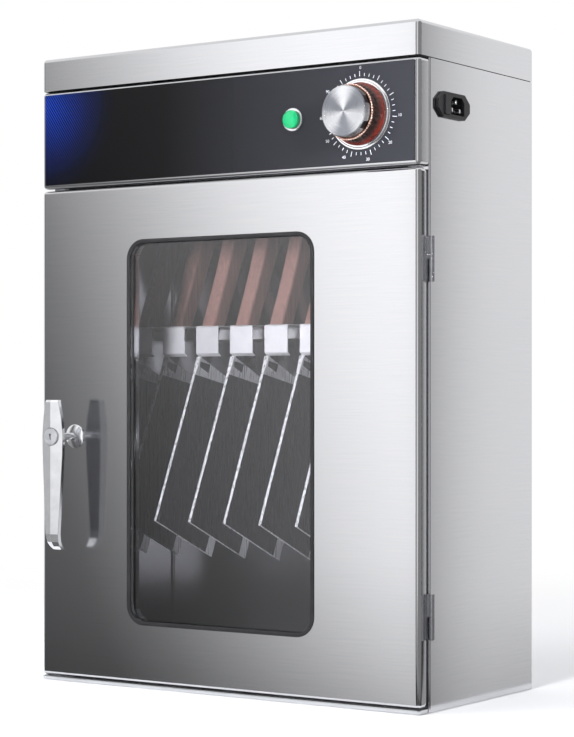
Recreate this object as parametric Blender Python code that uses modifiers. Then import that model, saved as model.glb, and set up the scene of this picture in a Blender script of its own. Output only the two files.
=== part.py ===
"""Knife sterilizer cabinet: a sheet-steel case with a glazed door, a slotted rack of cleavers, a germicidal lamp,
a timer knob, a pilot lamp and a fused mains inlet. Metres, +Z up. The door faces -Y, and the origin is the middle
of the base."""

import math

import bmesh
import bpy
from mathutils import Matrix, Vector

# Case
CABINET_WIDTH = 0.450
CABINET_DEPTH = 0.220
CABINET_HEIGHT = 0.635
SHEET = 0.0010
FRONT_BEND = 0.0040
REAR_BEND = 0.0040
FLANGE_BEND = 0.0016
FOOT_ROUND = 0.0060
SEAT_GAP = 0.0003
OVERRUN = 0.0020
FLANGE_WIDTH = 0.0200
PAN_WALL = 0.0120

# Front: cap, panel, door and base lip, one above the other
CAP_HEIGHT = 0.0330
CAP_SEAM = 0.0008
PANEL_SEAM = 0.0012
PANEL_HEIGHT = 0.0991
DOOR_GAP = 0.0018
LIP_GAP = 0.0010
LIP_HEIGHT = 0.0040
FRONT_DEPTH = 0.0168
FRONT_SEAM = 0.0019
RETURN_DEPTH = 0.0106
PANEL_STEP = 0.0020
LEAST_CORNER = 0.0004

# Control panel
OVERLAY_MARGIN_X = 0.0037
OVERLAY_MARGIN_TOP = 0.0022
OVERLAY_MARGIN_BOTTOM = 0.0028
OVERLAY_THICKNESS = 0.0005
OVERLAY_CORNER = 0.0010
CONTROLS_DROP = 0.0493
KNOB_INSET = 0.0630
PILOT_INSET = 0.1380

# Timer knob, measured outwards from the overlay
DIAL_RADIUS = 0.0330
DIAL_BORE = 0.0200
DIAL_HEIGHT = 0.0024
DIAL_LAND = 0.0016
SKIRT_RADIUS = 0.0292
SKIRT_WAIST = 0.0246
SKIRT_RIM = 0.0018
SKIRT_HEIGHT = 0.0142
SKIRT_SHOULDER = 0.0255
FLUTE_COUNT = 36
FLUTE_DEPTH = 0.0006
BEAD_COUNT = 36
BEAD_RADIUS = 0.0017
BEAD_DEPTH = 0.0005
CAP_RADIUS = 0.0238
CAP_EDGE = 0.0008
CAP_LENGTH = 0.0086
NOTCH_COUNT = 6
NOTCH_WIDTH = 0.0080
NOTCH_DEPTH = 0.0024
NOTCH_START_DEGREES = 25
SHAFT_RADIUS = 0.0030
SHAFT_INSERT = 0.0090
TIMER_RADIUS = 0.0260
TIMER_LENGTH = 0.0380

# Pilot lamp
LENS_RADIUS = 0.0088
LENS_LENGTH = 0.0056
LENS_EDGE = 0.0006
BEZEL_RADIUS = 0.0112
BEZEL_HEIGHT = 0.0024
PILOT_BODY_RADIUS = 0.0078
PILOT_BODY_LENGTH = 0.0300

# Door window
STILE_LEFT = 0.1109
STILE_RIGHT = 0.1151
RAIL_TOP = 0.0538
RAIL_BOTTOM = 0.0577
WINDOW_CORNER = 0.0200
GASKET_LIP = 0.0043
GASKET_HOLD = 0.0015
GASKET_WEB = 0.0010
GASKET_PROUD = 0.0012
GASKET_TAIL = 0.0014
GLASS_RECESS = 0.0025
GLASS_THICKNESS = 0.0030
PAN_OPENING_INSET = 0.0020

# Handle and latch
HANDLE_INSET = 0.0440
HANDLE_DROP = 0.2503
GRIP_STANDOFF = 0.0390
GRIP_THICKNESS = 0.0110
GRIP_HALF_WIDTH = 0.0132
GRIP_ABOVE = 0.0368
GRIP_BELOW = 0.1134
GRIP_CURL = 0.0096
GRIP_SHOULDER_SHARE = 0.30
GRIP_BACK_SHARE = 0.74
PLUG_RADIUS = 0.0087
PLUG_PROUD = 0.0006
PLUG_DEPTH = 0.0048
KEY_SLOT_WIDTH = 0.0016
KEY_SLOT_LENGTH = 0.0062
KEY_SLOT_DEPTH = 0.0030
STEM_RADIUS = 0.0036
STEM_INSERT = 0.0040
ROSETTE_RADIUS = 0.0118
ROSETTE_TOP_RADIUS = 0.0056
ROSETTE_EDGE = 0.0009
ROSETTE_HEIGHT = 0.0036
SLEEVE_WALL = 0.0021
SLEEVE_STICKOUT = 0.0022
NUT_FLATS = 0.0170
NUT_THICKNESS = 0.0016
SQUARE_SIDE = 0.0050
SQUARE_LENGTH = 0.0080
CAM_CLEARANCE = 0.0008
CAM_THICKNESS = 0.0025
CAM_LENGTH = 0.0250
CAM_RADIUS = 0.0080
CAM_TIP_RADIUS = 0.0060
CAM_NUT_FLATS = 0.0110
CAM_NUT_THICKNESS = 0.0032

# Hinges
HINGE_UPPER_DROP = 0.0834
HINGE_LOWER_Z = 0.0883
HINGE_HEIGHT = 0.0417
KNUCKLE_RADIUS = 0.00275
KNUCKLE_GAP = 0.0005
PIN_RADIUS = 0.0012
PIN_HEAD = 0.0006
DOOR_LEAF_LENGTH = 0.0130
BODY_LEAF_LENGTH = 0.0170
BODY_LEAF_THICKNESS = 0.0012
LEAF_NECK = 0.0024

# Rack
RACK_DROP = 0.1385
RACK_SET_BACK = 0.1240
RACK_LENGTH = 0.0860
RACK_BEND = 0.0020
RACK_LIP = 0.0283
RACK_CURL_BACK = 0.0050
RACK_CURL_DOWN = 0.0030
RACK_REAR_LIP = 0.0120
RACK_END_CLEARANCE = 0.0020
SLOT_COUNT = 10
SLOT_MARGIN = 0.0315
SLOT_WIDTH = 0.0149
SLOT_REACH = 0.0640
BRACKET_LEG = 0.0150
BRACKET_DROP = 0.0180
BRACKET_SET_BACK = 0.0030

# Cleavers
KNIFE_COUNT = 7
KNIFE_LEAN_DEGREES = 23.9
KNIFE_SET_BACK = 0.0287
BLADE_DROP = 0.0345
BLADE_LENGTH = 0.1820
BLADE_WIDTH = 0.1048
BLADE_SKEW = 0.0050
BLADE_THICKNESS = 0.0032
BLADE_BEVEL = 0.0140
EDGE_THICKNESS = 0.0006
BOLSTER_THICKNESS = 0.0057
BOLSTER_LENGTH = 0.0200
NECK_FRONT = 0.0022
NECK_WIDTH = 0.0165
KNIFE_GRIP_THICKNESS = 0.0168
KNIFE_GRIP_DEPTH = 0.0208
KNIFE_GRIP_LENGTH = 0.1120
KNIFE_GRIP_FLARE = 0.0042
KNIFE_GRIP_ROUND = 0.0036

# Germicidal lamp and its gear
LAMP_RADIUS = 0.0080
LAMP_END_MARGIN = 0.0810
LAMP_SET_BACK = 0.0700
LAMP_DROP = 0.0220
LAMP_INSERT = 0.0050
HOLDER_LENGTH = 0.0160
HOLDER_WIDTH = 0.0240
HOLDER_MARGIN = 0.0040
BALLAST_INSET = 0.1650
BALLAST_FROM_BACK = 0.0700
BALLAST_LENGTH = 0.1500
BALLAST_WIDTH = 0.0400
BALLAST_HEIGHT = 0.0280
BALLAST_EAR = 0.0120
BALLAST_EAR_HEIGHT = 0.0020
TERMINAL_INSET = 0.1050
TERMINAL_FROM_BACK = 0.0600
TERMINAL_PITCH = 0.0100
TERMINAL_COUNT = 5
TERMINAL_WIDTH = 0.0200
TERMINAL_HEIGHT = 0.0160
TERMINAL_GROOVE = 0.0016
TERMINAL_GROOVE_DEPTH = 0.0050

# Mains inlet on the right side
INLET_SET_BACK = 0.0584
INLET_DROP = 0.0402
INLET_HALF_LENGTH = 0.0290
INLET_HALF_HEIGHT = 0.0119
INLET_SHOULDER = 0.0196
INLET_EAR_HALF_HEIGHT = 0.0042
INLET_FLANGE = 0.0030
INLET_BODY_HALF_LENGTH = 0.0193
INLET_BODY_HALF_HEIGHT = 0.0104
INLET_BODY_LENGTH = 0.0260
SOCKET_OFFSET = 0.0060
SOCKET_WIDTH = 0.0244
SOCKET_HEIGHT = 0.0165
SOCKET_CHAMFER = 0.0045
SOCKET_DEPTH = 0.0170
PIN_THICKNESS = 0.0020
PIN_WIDTH = 0.0040
PIN_LENGTH = 0.0150
PIN_SPREAD = 0.0070
EARTH_PIN_RISE = 0.0040
LIVE_PIN_DROP = 0.0036
FUSE_OFFSET = -0.0139
FUSE_TRAY_WIDTH = 0.0084
FUSE_TRAY_HEIGHT = 0.0180
FUSE_TRAY_LENGTH = 0.0200
FUSE_TRAY_FACE = 0.0014
FUSE_RADIUS = 0.0026
FUSE_LENGTH = 0.0150
FUSE_INSET = 0.0090

# Places that follow from the sizes above
HALF_WIDTH = CABINET_WIDTH / 2
FRONT_Y = -CABINET_DEPTH / 2
BACK_Y = CABINET_DEPTH / 2
CAP_BOTTOM = CABINET_HEIGHT - CAP_HEIGHT
CASE_TOP = CAP_BOTTOM - CAP_SEAM
PANEL_TOP = CAP_BOTTOM - PANEL_SEAM
PANEL_BOTTOM = PANEL_TOP - PANEL_HEIGHT
DOOR_TOP = PANEL_BOTTOM - DOOR_GAP
DOOR_BOTTOM = LIP_HEIGHT + LIP_GAP
FRONT_REAR_Y = FRONT_Y + FRONT_DEPTH
CASE_FRONT_Y = FRONT_REAR_Y + FRONT_SEAM
INNER_HALF_WIDTH = HALF_WIDTH - SHEET - SEAT_GAP
INNER_BACK_Y = BACK_Y - SHEET - SEAT_GAP
SHELF_TOP = (PANEL_BOTTOM + DOOR_TOP) / 2
OVERLAY_FRONT_Y = FRONT_Y - SEAT_GAP - OVERLAY_THICKNESS
CONTROLS_Z = PANEL_TOP - CONTROLS_DROP
KNOB_X = HALF_WIDTH - KNOB_INSET
PILOT_X = HALF_WIDTH - PILOT_INSET
WINDOW_WIDTH = CABINET_WIDTH - STILE_LEFT - STILE_RIGHT
WINDOW_HEIGHT = DOOR_TOP - DOOR_BOTTOM - RAIL_TOP - RAIL_BOTTOM
WINDOW_X = (STILE_LEFT - STILE_RIGHT) / 2
WINDOW_Z = DOOR_BOTTOM + RAIL_BOTTOM + WINDOW_HEIGHT / 2
HANDLE_X = HANDLE_INSET - HALF_WIDTH
HANDLE_Z = DOOR_TOP - HANDLE_DROP
HINGE_X = HALF_WIDTH + KNUCKLE_RADIUS
HINGE_Y = FRONT_REAR_Y + FRONT_SEAM / 2
HINGE_UPPER_Z = DOOR_TOP - HINGE_UPPER_DROP
RACK_TOP = SHELF_TOP - RACK_DROP
RACK_FRONT_Y = BACK_Y - RACK_SET_BACK
SLOT_FIRST_X = SLOT_MARGIN - HALF_WIDTH
SLOT_PITCH = (CABINET_WIDTH - 2 * SLOT_MARGIN) / (SLOT_COUNT - 1)
LAMP_LENGTH = CABINET_WIDTH - 2 * LAMP_END_MARGIN
LAMP_Y = FRONT_Y + LAMP_SET_BACK
BALLAST_X = BALLAST_INSET - HALF_WIDTH
BALLAST_Y = BACK_Y - BALLAST_FROM_BACK
TERMINAL_X = HALF_WIDTH - TERMINAL_INSET
TERMINAL_Y = BACK_Y - TERMINAL_FROM_BACK
INLET_Y = FRONT_Y + INLET_SET_BACK
INLET_Z = PANEL_TOP - INLET_DROP
KNIFE_LEAN = math.radians(KNIFE_LEAN_DEGREES)
INLET_FACE_X = HALF_WIDTH + SEAT_GAP + INLET_FLANGE

# Facet counts
BEND_STEPS = 3
CORNER_STEPS = 5
ROUND_SIDES = 24
FINE_SIDES = 48
SMALL_SIDES = 16
HEX_SIDES = 6
COLUMNS_PER_FLUTE = 2
SMOOTH_ANGLE = math.radians(35)
BEVEL_ANGLE = math.radians(30)
MERGE_DISTANCE = 0.00001
QUARTER_TURN = math.radians(90)
FULL_TURN = math.radians(360)

COLOURS = {
    "brushed_steel": ((0.62, 0.62, 0.63), 0.32, 1.0),
    "inner_steel": ((0.52, 0.52, 0.53), 0.40, 1.0),
    "chrome": ((0.80, 0.80, 0.82), 0.12, 1.0),
    "spun_aluminium": ((0.76, 0.77, 0.79), 0.28, 1.0),
    "copper_bead": ((0.86, 0.55, 0.47), 0.25, 1.0),
    "red_brown_plastic": ((0.33, 0.06, 0.04), 0.38, 0.0),
    "panel_black": ((0.035, 0.037, 0.042), 0.30, 0.0),
    "black_plastic": ((0.020, 0.020, 0.022), 0.42, 0.0),
    "black_rubber": ((0.015, 0.015, 0.016), 0.60, 0.0),
    "green_lens": ((0.05, 0.75, 0.38), 0.18, 0.0),
    "clear_glass": ((0.80, 0.84, 0.85), 0.05, 0.0),
    "blade_steel": ((0.68, 0.68, 0.70), 0.24, 1.0),
    "brown_wood": ((0.24, 0.10, 0.06), 0.50, 0.0),
    "lamp_glass": ((0.88, 0.92, 0.98), 0.10, 0.0),
    "white_plastic": ((0.80, 0.80, 0.78), 0.45, 0.0),
    "dark_steel": ((0.16, 0.16, 0.17), 0.40, 1.0),
}

PARTS = None
CUTTERS = None


# Scene and object helpers


def clear_scene():
    for item in list(bpy.data.objects):
        bpy.data.objects.remove(item, do_unlink=True)


def make_collection(name):
    collection = bpy.data.collections.new(name)
    bpy.context.scene.collection.children.link(collection)
    return collection


def finish(name):
    """The named finish as a Principled material, made once."""
    found = bpy.data.materials.get(name)
    if found:
        return found
    colour, roughness, metallic = COLOURS[name]
    made = bpy.data.materials.new(name)
    made.use_nodes = True
    shader = made.node_tree.nodes["Principled BSDF"]
    shader.inputs["Base Color"].default_value = (*colour, 1.0)
    shader.inputs["Roughness"].default_value = roughness
    shader.inputs["Metallic"].default_value = metallic
    made.diffuse_color = (*colour, 1.0)
    return made


def joint_frame(name, location, rotation=(0, 0, 0), parent=None):
    """An empty on a joint's axis, which carries the pieces of one moving body."""
    empty = bpy.data.objects.new(name, None)
    empty.rotation_euler = rotation
    empty.location = location
    PARTS.objects.link(empty)
    if parent:
        empty.parent = parent
        empty.location = Vector(location) - parent.location
    return empty


def shade(mesh):
    mesh.shade_smooth()
    mesh.set_sharp_from_angle(angle=SMOOTH_ANGLE)


def object_from(name, bm):
    mesh = bpy.data.meshes.new(name)
    bm.to_mesh(mesh)
    bm.free()
    made = bpy.data.objects.new(name, mesh)
    PARTS.objects.link(made)
    return made


def place(piece, look, body=None, location=(0, 0, 0), rotation=(0, 0, 0)):
    """Gives a piece its finish and its place in the cabinet's frame, riding on a body's empty where it has one."""
    piece.data.materials.clear()
    piece.data.materials.append(finish(look))
    piece.rotation_euler = rotation
    piece.location = location
    if body:
        piece.parent = body
        inverse = frame_of(body).inverted()
        piece.matrix_local = inverse @ Matrix.LocRotScale(location, piece.rotation_euler, None)
    return piece


def frame_of(body):
    """World matrix of a body's empty, worked out from its own values."""
    own = Matrix.LocRotScale(body.location, body.rotation_euler, None)
    return frame_of(body.parent) @ own if body.parent else own


def as_tool(item):
    """Moves an object to the cutters, out of the finished part."""
    PARTS.objects.unlink(item)
    CUTTERS.objects.link(item)
    item.hide_render = True
    item.display_type = "WIRE"


def boolean(target, tool, operation):
    as_tool(tool)
    step = target.modifiers.new(tool.name, "BOOLEAN")
    step.operation = operation
    step.solver = "EXACT"
    step.object = tool


def cut(target, *tools):
    for tool in tools:
        boolean(target, tool, "DIFFERENCE")


def fuse(target, *tools):
    for tool in tools:
        boolean(target, tool, "UNION")


def round_edges(item, radius, steps=2, angle=BEVEL_ANGLE):
    bevel = item.modifiers.new("rounded edges", "BEVEL")
    bevel.width = radius
    bevel.segments = steps
    bevel.limit_method = "ANGLE"
    bevel.angle_limit = angle
    bevel.harden_normals = False


# Shapes


def block(name, low, high):
    """A box between two corners."""
    bm = bmesh.new()
    bmesh.ops.create_cube(bm, size=1.0)
    low, high = Vector(low), Vector(high)
    bmesh.ops.scale(bm, vec=high - low, verts=bm.verts)
    bmesh.ops.translate(bm, vec=(low + high) / 2, verts=bm.verts)
    return object_from(name, bm)


def rod(name, radius, start, end, sides=ROUND_SIDES):
    """A cylinder from one point to another."""
    start, end = Vector(start), Vector(end)
    along = end - start
    bm = bmesh.new()
    bmesh.ops.create_cone(
        bm, cap_ends=True, segments=sides, radius1=radius, radius2=radius, depth=along.length
    )
    turn = Vector((0, 0, 1)).rotation_difference(along).to_matrix().to_4x4()
    bmesh.ops.transform(bm, matrix=Matrix.Translation((start + end) / 2) @ turn, verts=bm.verts)
    made = object_from(name, bm)
    shade(made.data)
    return made


def turned(name, profile, steps=FINE_SIDES, ring=False):
    """A profile of (radius, height) points turned about local Z. A ring's profile closes on itself."""
    bm = bmesh.new()
    points = [bm.verts.new((radius, 0, height)) for radius, height in profile]
    pairs = list(zip(points, points[1:]))
    if ring:
        pairs.append((points[-1], points[0]))
    for pair in pairs:
        bm.edges.new(pair)
    made = object_from(name, bm)
    screw = made.modifiers.new("turned", "SCREW")
    screw.steps = steps
    screw.render_steps = steps
    screw.use_merge_vertices = True
    screw.merge_threshold = MERGE_DISTANCE
    screw.use_smooth_shade = False
    return made


def evaluated_mesh(item, name):
    bpy.context.view_layer.update()
    graph = bpy.context.evaluated_depsgraph_get()
    mesh = bpy.data.meshes.new_from_object(item.evaluated_get(graph))
    mesh.name = name
    return mesh


def frozen(item):
    """The object with its modifiers made into its mesh."""
    mesh = evaluated_mesh(item, item.name)
    item.modifiers.clear()
    item.data = mesh
    return item


def prism(name, loops, low, high, plane="XY"):
    """Flat closed outlines (the first outside, the others holes) drawn in a plane and raised between two levels."""
    curve = bpy.data.curves.new(name, "CURVE")
    curve.dimensions = "2D"
    curve.fill_mode = "BOTH"
    curve.extrude = (high - low) / 2
    for loop in loops:
        spline = curve.splines.new("POLY")
        spline.points.add(len(loop) - 1)
        for point, (across, up) in zip(spline.points, loop):
            point.co = (across, up, 0, 1)
        spline.use_cyclic_u = True
    drawn = bpy.data.objects.new(name, curve)
    PARTS.objects.link(drawn)
    mesh = evaluated_mesh(drawn, name)
    bpy.data.objects.remove(drawn, do_unlink=True)
    middle = (high + low) / 2
    bm = bmesh.new()
    bm.from_mesh(mesh)
    bmesh.ops.remove_doubles(bm, verts=bm.verts, dist=MERGE_DISTANCE)
    for vert in bm.verts:
        across, up, out = vert.co
        out += middle
        spots = {"XY": (across, up, out), "XZ": (across, out, up), "YZ": (out, across, up)}
        vert.co = spots[plane]
    face_outwards(bm)
    return object_from(name, bm)


def face_outwards(bm):
    bmesh.ops.recalc_face_normals(bm, faces=bm.faces)
    if bm.calc_volume(signed=True) < 0:
        bmesh.ops.reverse_faces(bm, faces=bm.faces)


def folded_sheet(name, profile, low, high, plane, thickness, inside):
    """An open bent profile raised between two levels, then given its thickness on one side (inside is -1 or 1)."""
    bm = bmesh.new()
    rows = []
    for level in (low, high):
        spots = {
            "XY": lambda a, b, c: (a, b, c),
            "YZ": lambda a, b, c: (c, a, b),
        }
        rows.append([bm.verts.new(spots[plane](a, b, level)) for a, b in profile])
    for i in range(len(profile) - 1):
        bm.faces.new((rows[0][i], rows[0][i + 1], rows[1][i + 1], rows[1][i]))
    made = object_from(name, bm)
    thicken(made, thickness, inside)
    return made


def thicken(item, thickness, side=-1):
    wall = item.modifiers.new("sheet", "SOLIDIFY")
    wall.thickness = thickness
    wall.offset = side
    wall.use_even_offset = True
    wall.use_rim = True


def tray(name, low, high, open_side, radius, thickness=SHEET):
    """A folded box of sheet with rounded bends, open towards the unit vector open_side."""
    bm = bmesh.new()
    bmesh.ops.create_cube(bm, size=1.0)
    low, high = Vector(low), Vector(high)
    bmesh.ops.scale(bm, vec=high - low, verts=bm.verts)
    bmesh.ops.translate(bm, vec=(low + high) / 2, verts=bm.verts)
    bm.normal_update()
    facing = Vector(open_side)
    open_faces = [face for face in bm.faces if face.normal.dot(facing) > math.cos(BEVEL_ANGLE)]
    bmesh.ops.delete(bm, geom=open_faces, context="FACES_ONLY")
    made = object_from(name, bm)
    round_edges(made, radius, BEND_STEPS)
    thicken(made, thickness)
    return made


def loft(name, sections):
    """Closed sections of the same number of points joined in order, with both ends filled."""
    bm = bmesh.new()
    rings = [[bm.verts.new(point) for point in section] for section in sections]
    count = len(rings[0])
    for low, high in zip(rings, rings[1:]):
        for i in range(count):
            j = (i + 1) % count
            bm.faces.new((low[i], low[j], high[j], high[i]))
    bm.faces.new(rings[0])
    bm.faces.new(rings[-1])
    face_outwards(bm)
    return object_from(name, bm)


def arc(centre, radius, start, end, steps):
    """Points along an arc, angles in degrees."""
    points = []
    for i in range(steps + 1):
        angle = math.radians(start + (end - start) * i / steps)
        points.append((centre[0] + radius * math.cos(angle), centre[1] + radius * math.sin(angle)))
    return points


def circle(centre, radius, sides=ROUND_SIDES):
    return arc(centre, radius, 0, 360, sides)[:-1]


def rounded_rectangle(centre, width, height, radius, steps=CORNER_STEPS):
    across, up = width / 2 - radius, height / 2 - radius
    points = []
    for quarter, (side, level) in enumerate(((1, 1), (-1, 1), (-1, -1), (1, -1))):
        corner = (centre[0] + side * across, centre[1] + level * up)
        points += arc(corner, radius, 90 * quarter, 90 * quarter + 90, steps)
    return points


def hexagon(centre, flats):
    return circle(centre, flats / 2 / math.cos(FULL_TURN / HEX_SIDES / 2), HEX_SIDES)


def mirrored(points):
    """The points of a left half followed by their mirror images, back to the start's side."""
    return points + [(-across, up) for across, up in reversed(points)]


# Case


def case_profile():
    """Plan of the wrapped sheet from the left flange round the back to the right flange."""
    flange_corner = (-HALF_WIDTH + FLANGE_BEND, CASE_FRONT_Y + FLANGE_BEND)
    rear_corner = (-HALF_WIDTH + REAR_BEND, BACK_Y - REAR_BEND)
    left = [(-HALF_WIDTH + FLANGE_WIDTH, CASE_FRONT_Y)]
    left += arc(flange_corner, FLANGE_BEND, 270, 180, BEND_STEPS)
    left += arc(rear_corner, REAR_BEND, 180, 90, BEND_STEPS)
    return mirrored(left)


def foot_round_tool(name):
    """What lies outside the rounded lower rear edge."""
    centre = (BACK_Y - FOOT_ROUND, FOOT_ROUND)
    outline = arc(centre, FOOT_ROUND, 270, 360, CORNER_STEPS)
    outline += [(BACK_Y + OVERRUN, FOOT_ROUND), (BACK_Y + OVERRUN, -OVERRUN), (BACK_Y - FOOT_ROUND, -OVERRUN)]
    return prism(name, [outline], -HALF_WIDTH - OVERRUN, HALF_WIDTH + OVERRUN, "YZ")


def make_body_wrapper():
    wrapper = folded_sheet("body_wrapper", case_profile(), 0, CASE_TOP, "XY", SHEET, 1)
    body_half = INLET_BODY_HALF_LENGTH + SEAT_GAP
    body_height = INLET_BODY_HALF_HEIGHT + SEAT_GAP
    opening = block(
        "inlet_cutout",
        (HALF_WIDTH - SHEET - OVERRUN, INLET_Y - body_half, INLET_Z - body_height),
        (HALF_WIDTH + OVERRUN, INLET_Y + body_half, INLET_Z + body_height),
    )
    cut(wrapper, opening, foot_round_tool("wrapper_foot_round"))
    return place(wrapper, "brushed_steel")


def make_base_pan():
    """Floor tray inside the wrapped sheet, with a shallow toe that carries the lip under the door."""
    pan = tray(
        "base_pan",
        (-INNER_HALF_WIDTH, CASE_FRONT_Y + SHEET + SEAT_GAP, 0),
        (INNER_HALF_WIDTH, INNER_BACK_Y, PAN_WALL),
        (0, 0, 1),
        FOOT_ROUND - SHEET - SEAT_GAP,
    )
    toe = tray(
        "base_toe",
        (-HALF_WIDTH, FRONT_Y, 0),
        (HALF_WIDTH, FRONT_REAR_Y, LIP_HEIGHT),
        (0, 0, 1),
        LIP_HEIGHT / 2,
    )
    tongue = block(
        "base_tongue",
        (-INNER_HALF_WIDTH + FLANGE_WIDTH, FRONT_REAR_Y - FRONT_BEND, 0),
        (INNER_HALF_WIDTH - FLANGE_WIDTH, CASE_FRONT_Y + FLANGE_WIDTH, SHEET),
    )
    fuse(pan, toe, tongue)
    return place(pan, "inner_steel")


def make_top_cap():
    cap = tray(
        "top_cap",
        (-HALF_WIDTH, FRONT_Y, CAP_BOTTOM),
        (HALF_WIDTH, BACK_Y, CABINET_HEIGHT),
        (0, 0, -1),
        FRONT_BEND,
    )
    return place(cap, "brushed_steel")


def make_partition_shelf():
    """Roof of the chamber: a folded tray, open below, that also carries the lamp and its gear."""
    shelf = tray(
        "partition_shelf",
        (-INNER_HALF_WIDTH, CASE_FRONT_Y + SHEET + SEAT_GAP, SHELF_TOP - PAN_WALL),
        (INNER_HALF_WIDTH, INNER_BACK_Y, SHELF_TOP),
        (0, 0, -1),
        REAR_BEND - SHEET - SEAT_GAP,
    )
    return place(shelf, "inner_steel")


# Control panel


def panel_profile():
    """Section of the control panel from the front face out round the bend and back along the inside, as pairs of
    how far the outline is set in and its Y. The rear edge turns in and steps back to sit on the case flanges."""
    bend = (FRONT_BEND, FRONT_Y + FRONT_BEND)
    edge_rear = FRONT_REAR_Y - SEAT_GAP
    step_rear = CASE_FRONT_Y - SEAT_GAP
    step_inner = PANEL_STEP + SHEET
    outside = arc(bend, FRONT_BEND, 270, 180, BEND_STEPS)
    outside += [(0, edge_rear), (PANEL_STEP, edge_rear), (PANEL_STEP, step_rear)]
    inside = [(step_inner, step_rear), (step_inner, edge_rear - SHEET), (SHEET, edge_rear - SHEET)]
    return outside + inside + arc(bend, FRONT_BEND - SHEET, 180, 270, BEND_STEPS)


def make_control_panel():
    """Folded front tray, drawn as rounded outlines one inside the other along its section."""
    middle = (0, (PANEL_TOP + PANEL_BOTTOM) / 2)
    rings = []
    for inset, y in panel_profile():
        corner = max(FRONT_BEND - inset, LEAST_CORNER)
        loop = rounded_rectangle(middle, CABINET_WIDTH - 2 * inset, PANEL_HEIGHT - 2 * inset, corner, BEND_STEPS)
        rings.append([(across, y, up) for across, up in loop])
    panel = loft("control_panel", rings)
    cut(panel, front_hole("panel_shaft_hole", KNOB_X, SHAFT_RADIUS + SHEET))
    cut(panel, front_hole("panel_pilot_hole", PILOT_X, PILOT_BODY_RADIUS + SEAT_GAP))
    return place(panel, "brushed_steel")


def front_hole(name, x, radius):
    start = (x, OVERLAY_FRONT_Y - OVERRUN, CONTROLS_Z)
    return rod(name, radius, start, (x, FRONT_Y + SHEET + OVERRUN, CONTROLS_Z))


def make_panel_overlay():
    left, right = -HALF_WIDTH + OVERLAY_MARGIN_X, HALF_WIDTH - OVERLAY_MARGIN_X
    low, high = PANEL_BOTTOM + OVERLAY_MARGIN_BOTTOM, PANEL_TOP - OVERLAY_MARGIN_TOP
    middle = ((left + right) / 2, (low + high) / 2)
    overlay = prism(
        "panel_overlay",
        [
            rounded_rectangle(middle, right - left, high - low, OVERLAY_CORNER, BEND_STEPS),
            circle((KNOB_X, CONTROLS_Z), SHAFT_RADIUS + SHEET),
            circle((PILOT_X, CONTROLS_Z), PILOT_BODY_RADIUS + SEAT_GAP),
        ],
        OVERLAY_FRONT_Y,
        OVERLAY_FRONT_Y + OVERLAY_THICKNESS,
        "XZ",
    )
    return place(overlay, "panel_black")


FACING_FRONT = (QUARTER_TURN, 0, 0)


def make_dial_ring():
    low = SEAT_GAP
    profile = [
        (DIAL_BORE, DIAL_HEIGHT),
        (DIAL_RADIUS - DIAL_LAND - DIAL_HEIGHT / 2, DIAL_HEIGHT),
        (DIAL_RADIUS - DIAL_LAND, DIAL_HEIGHT / 2),
        (DIAL_RADIUS - DIAL_HEIGHT / 4, DIAL_HEIGHT / 2),
        (DIAL_RADIUS, DIAL_HEIGHT / 4),
        (DIAL_RADIUS, low),
        (DIAL_BORE, low),
    ]
    ring = turned("dial_ring", profile, ring=True)
    return place(ring, "chrome", location=(KNOB_X, OVERLAY_FRONT_Y, CONTROLS_Z), rotation=FACING_FRONT)


# Where the skirt is narrowest, and the heights its section goes through, from the shoulder down to the rim
SKIRT_WAIST_SHARE = 0.35
SKIRT_CURVE_SHARES = (0.0, 0.35, 0.62, 0.83, 1.0)


def skirt_profile():
    """Section of the flared skirt, from its shoulder out and down the waist to the rim, then up the hollow."""
    low = DIAL_HEIGHT + SEAT_GAP
    top = low + SKIRT_HEIGHT
    reach = top - SKIRT_RIM - low
    outer = [(SHAFT_RADIUS + SEAT_GAP, top), (SKIRT_SHOULDER - SHEET, top)]
    for share in SKIRT_CURVE_SHARES:
        height = top - SKIRT_RIM / 2 - reach * share
        flare = (1 - math.cos(QUARTER_TURN * max(0, share - SKIRT_WAIST_SHARE) / (1 - SKIRT_WAIST_SHARE)))
        shoulder = max(0, 1 - share / SKIRT_WAIST_SHARE) ** 2
        radius = SKIRT_WAIST + (SKIRT_RADIUS - SKIRT_WAIST) * flare + (SKIRT_SHOULDER - SKIRT_WAIST) * shoulder
        outer.append((radius, height))
    outer.append((SKIRT_RADIUS, low))
    wall = SKIRT_RADIUS - SKIRT_WAIST
    hollow = [(SKIRT_WAIST - SHEET, low), (SKIRT_WAIST - wall, top - wall), (SHAFT_RADIUS + SEAT_GAP, top - wall)]
    return outer + hollow



def ripple(item, count, depth, least, low, high):
    """Waves the surface of a turned mesh in and out, between two heights and outside a radius."""
    for vert in item.data.vertices:
        radius = math.hypot(vert.co.x, vert.co.y)
        if radius < least or not low < vert.co.z < high:
            continue
        angle = math.atan2(vert.co.y, vert.co.x)
        share = 1 - depth * (0.5 - 0.5 * math.cos(count * angle)) / radius
        vert.co.x *= share
        vert.co.y *= share
    return item


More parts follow.
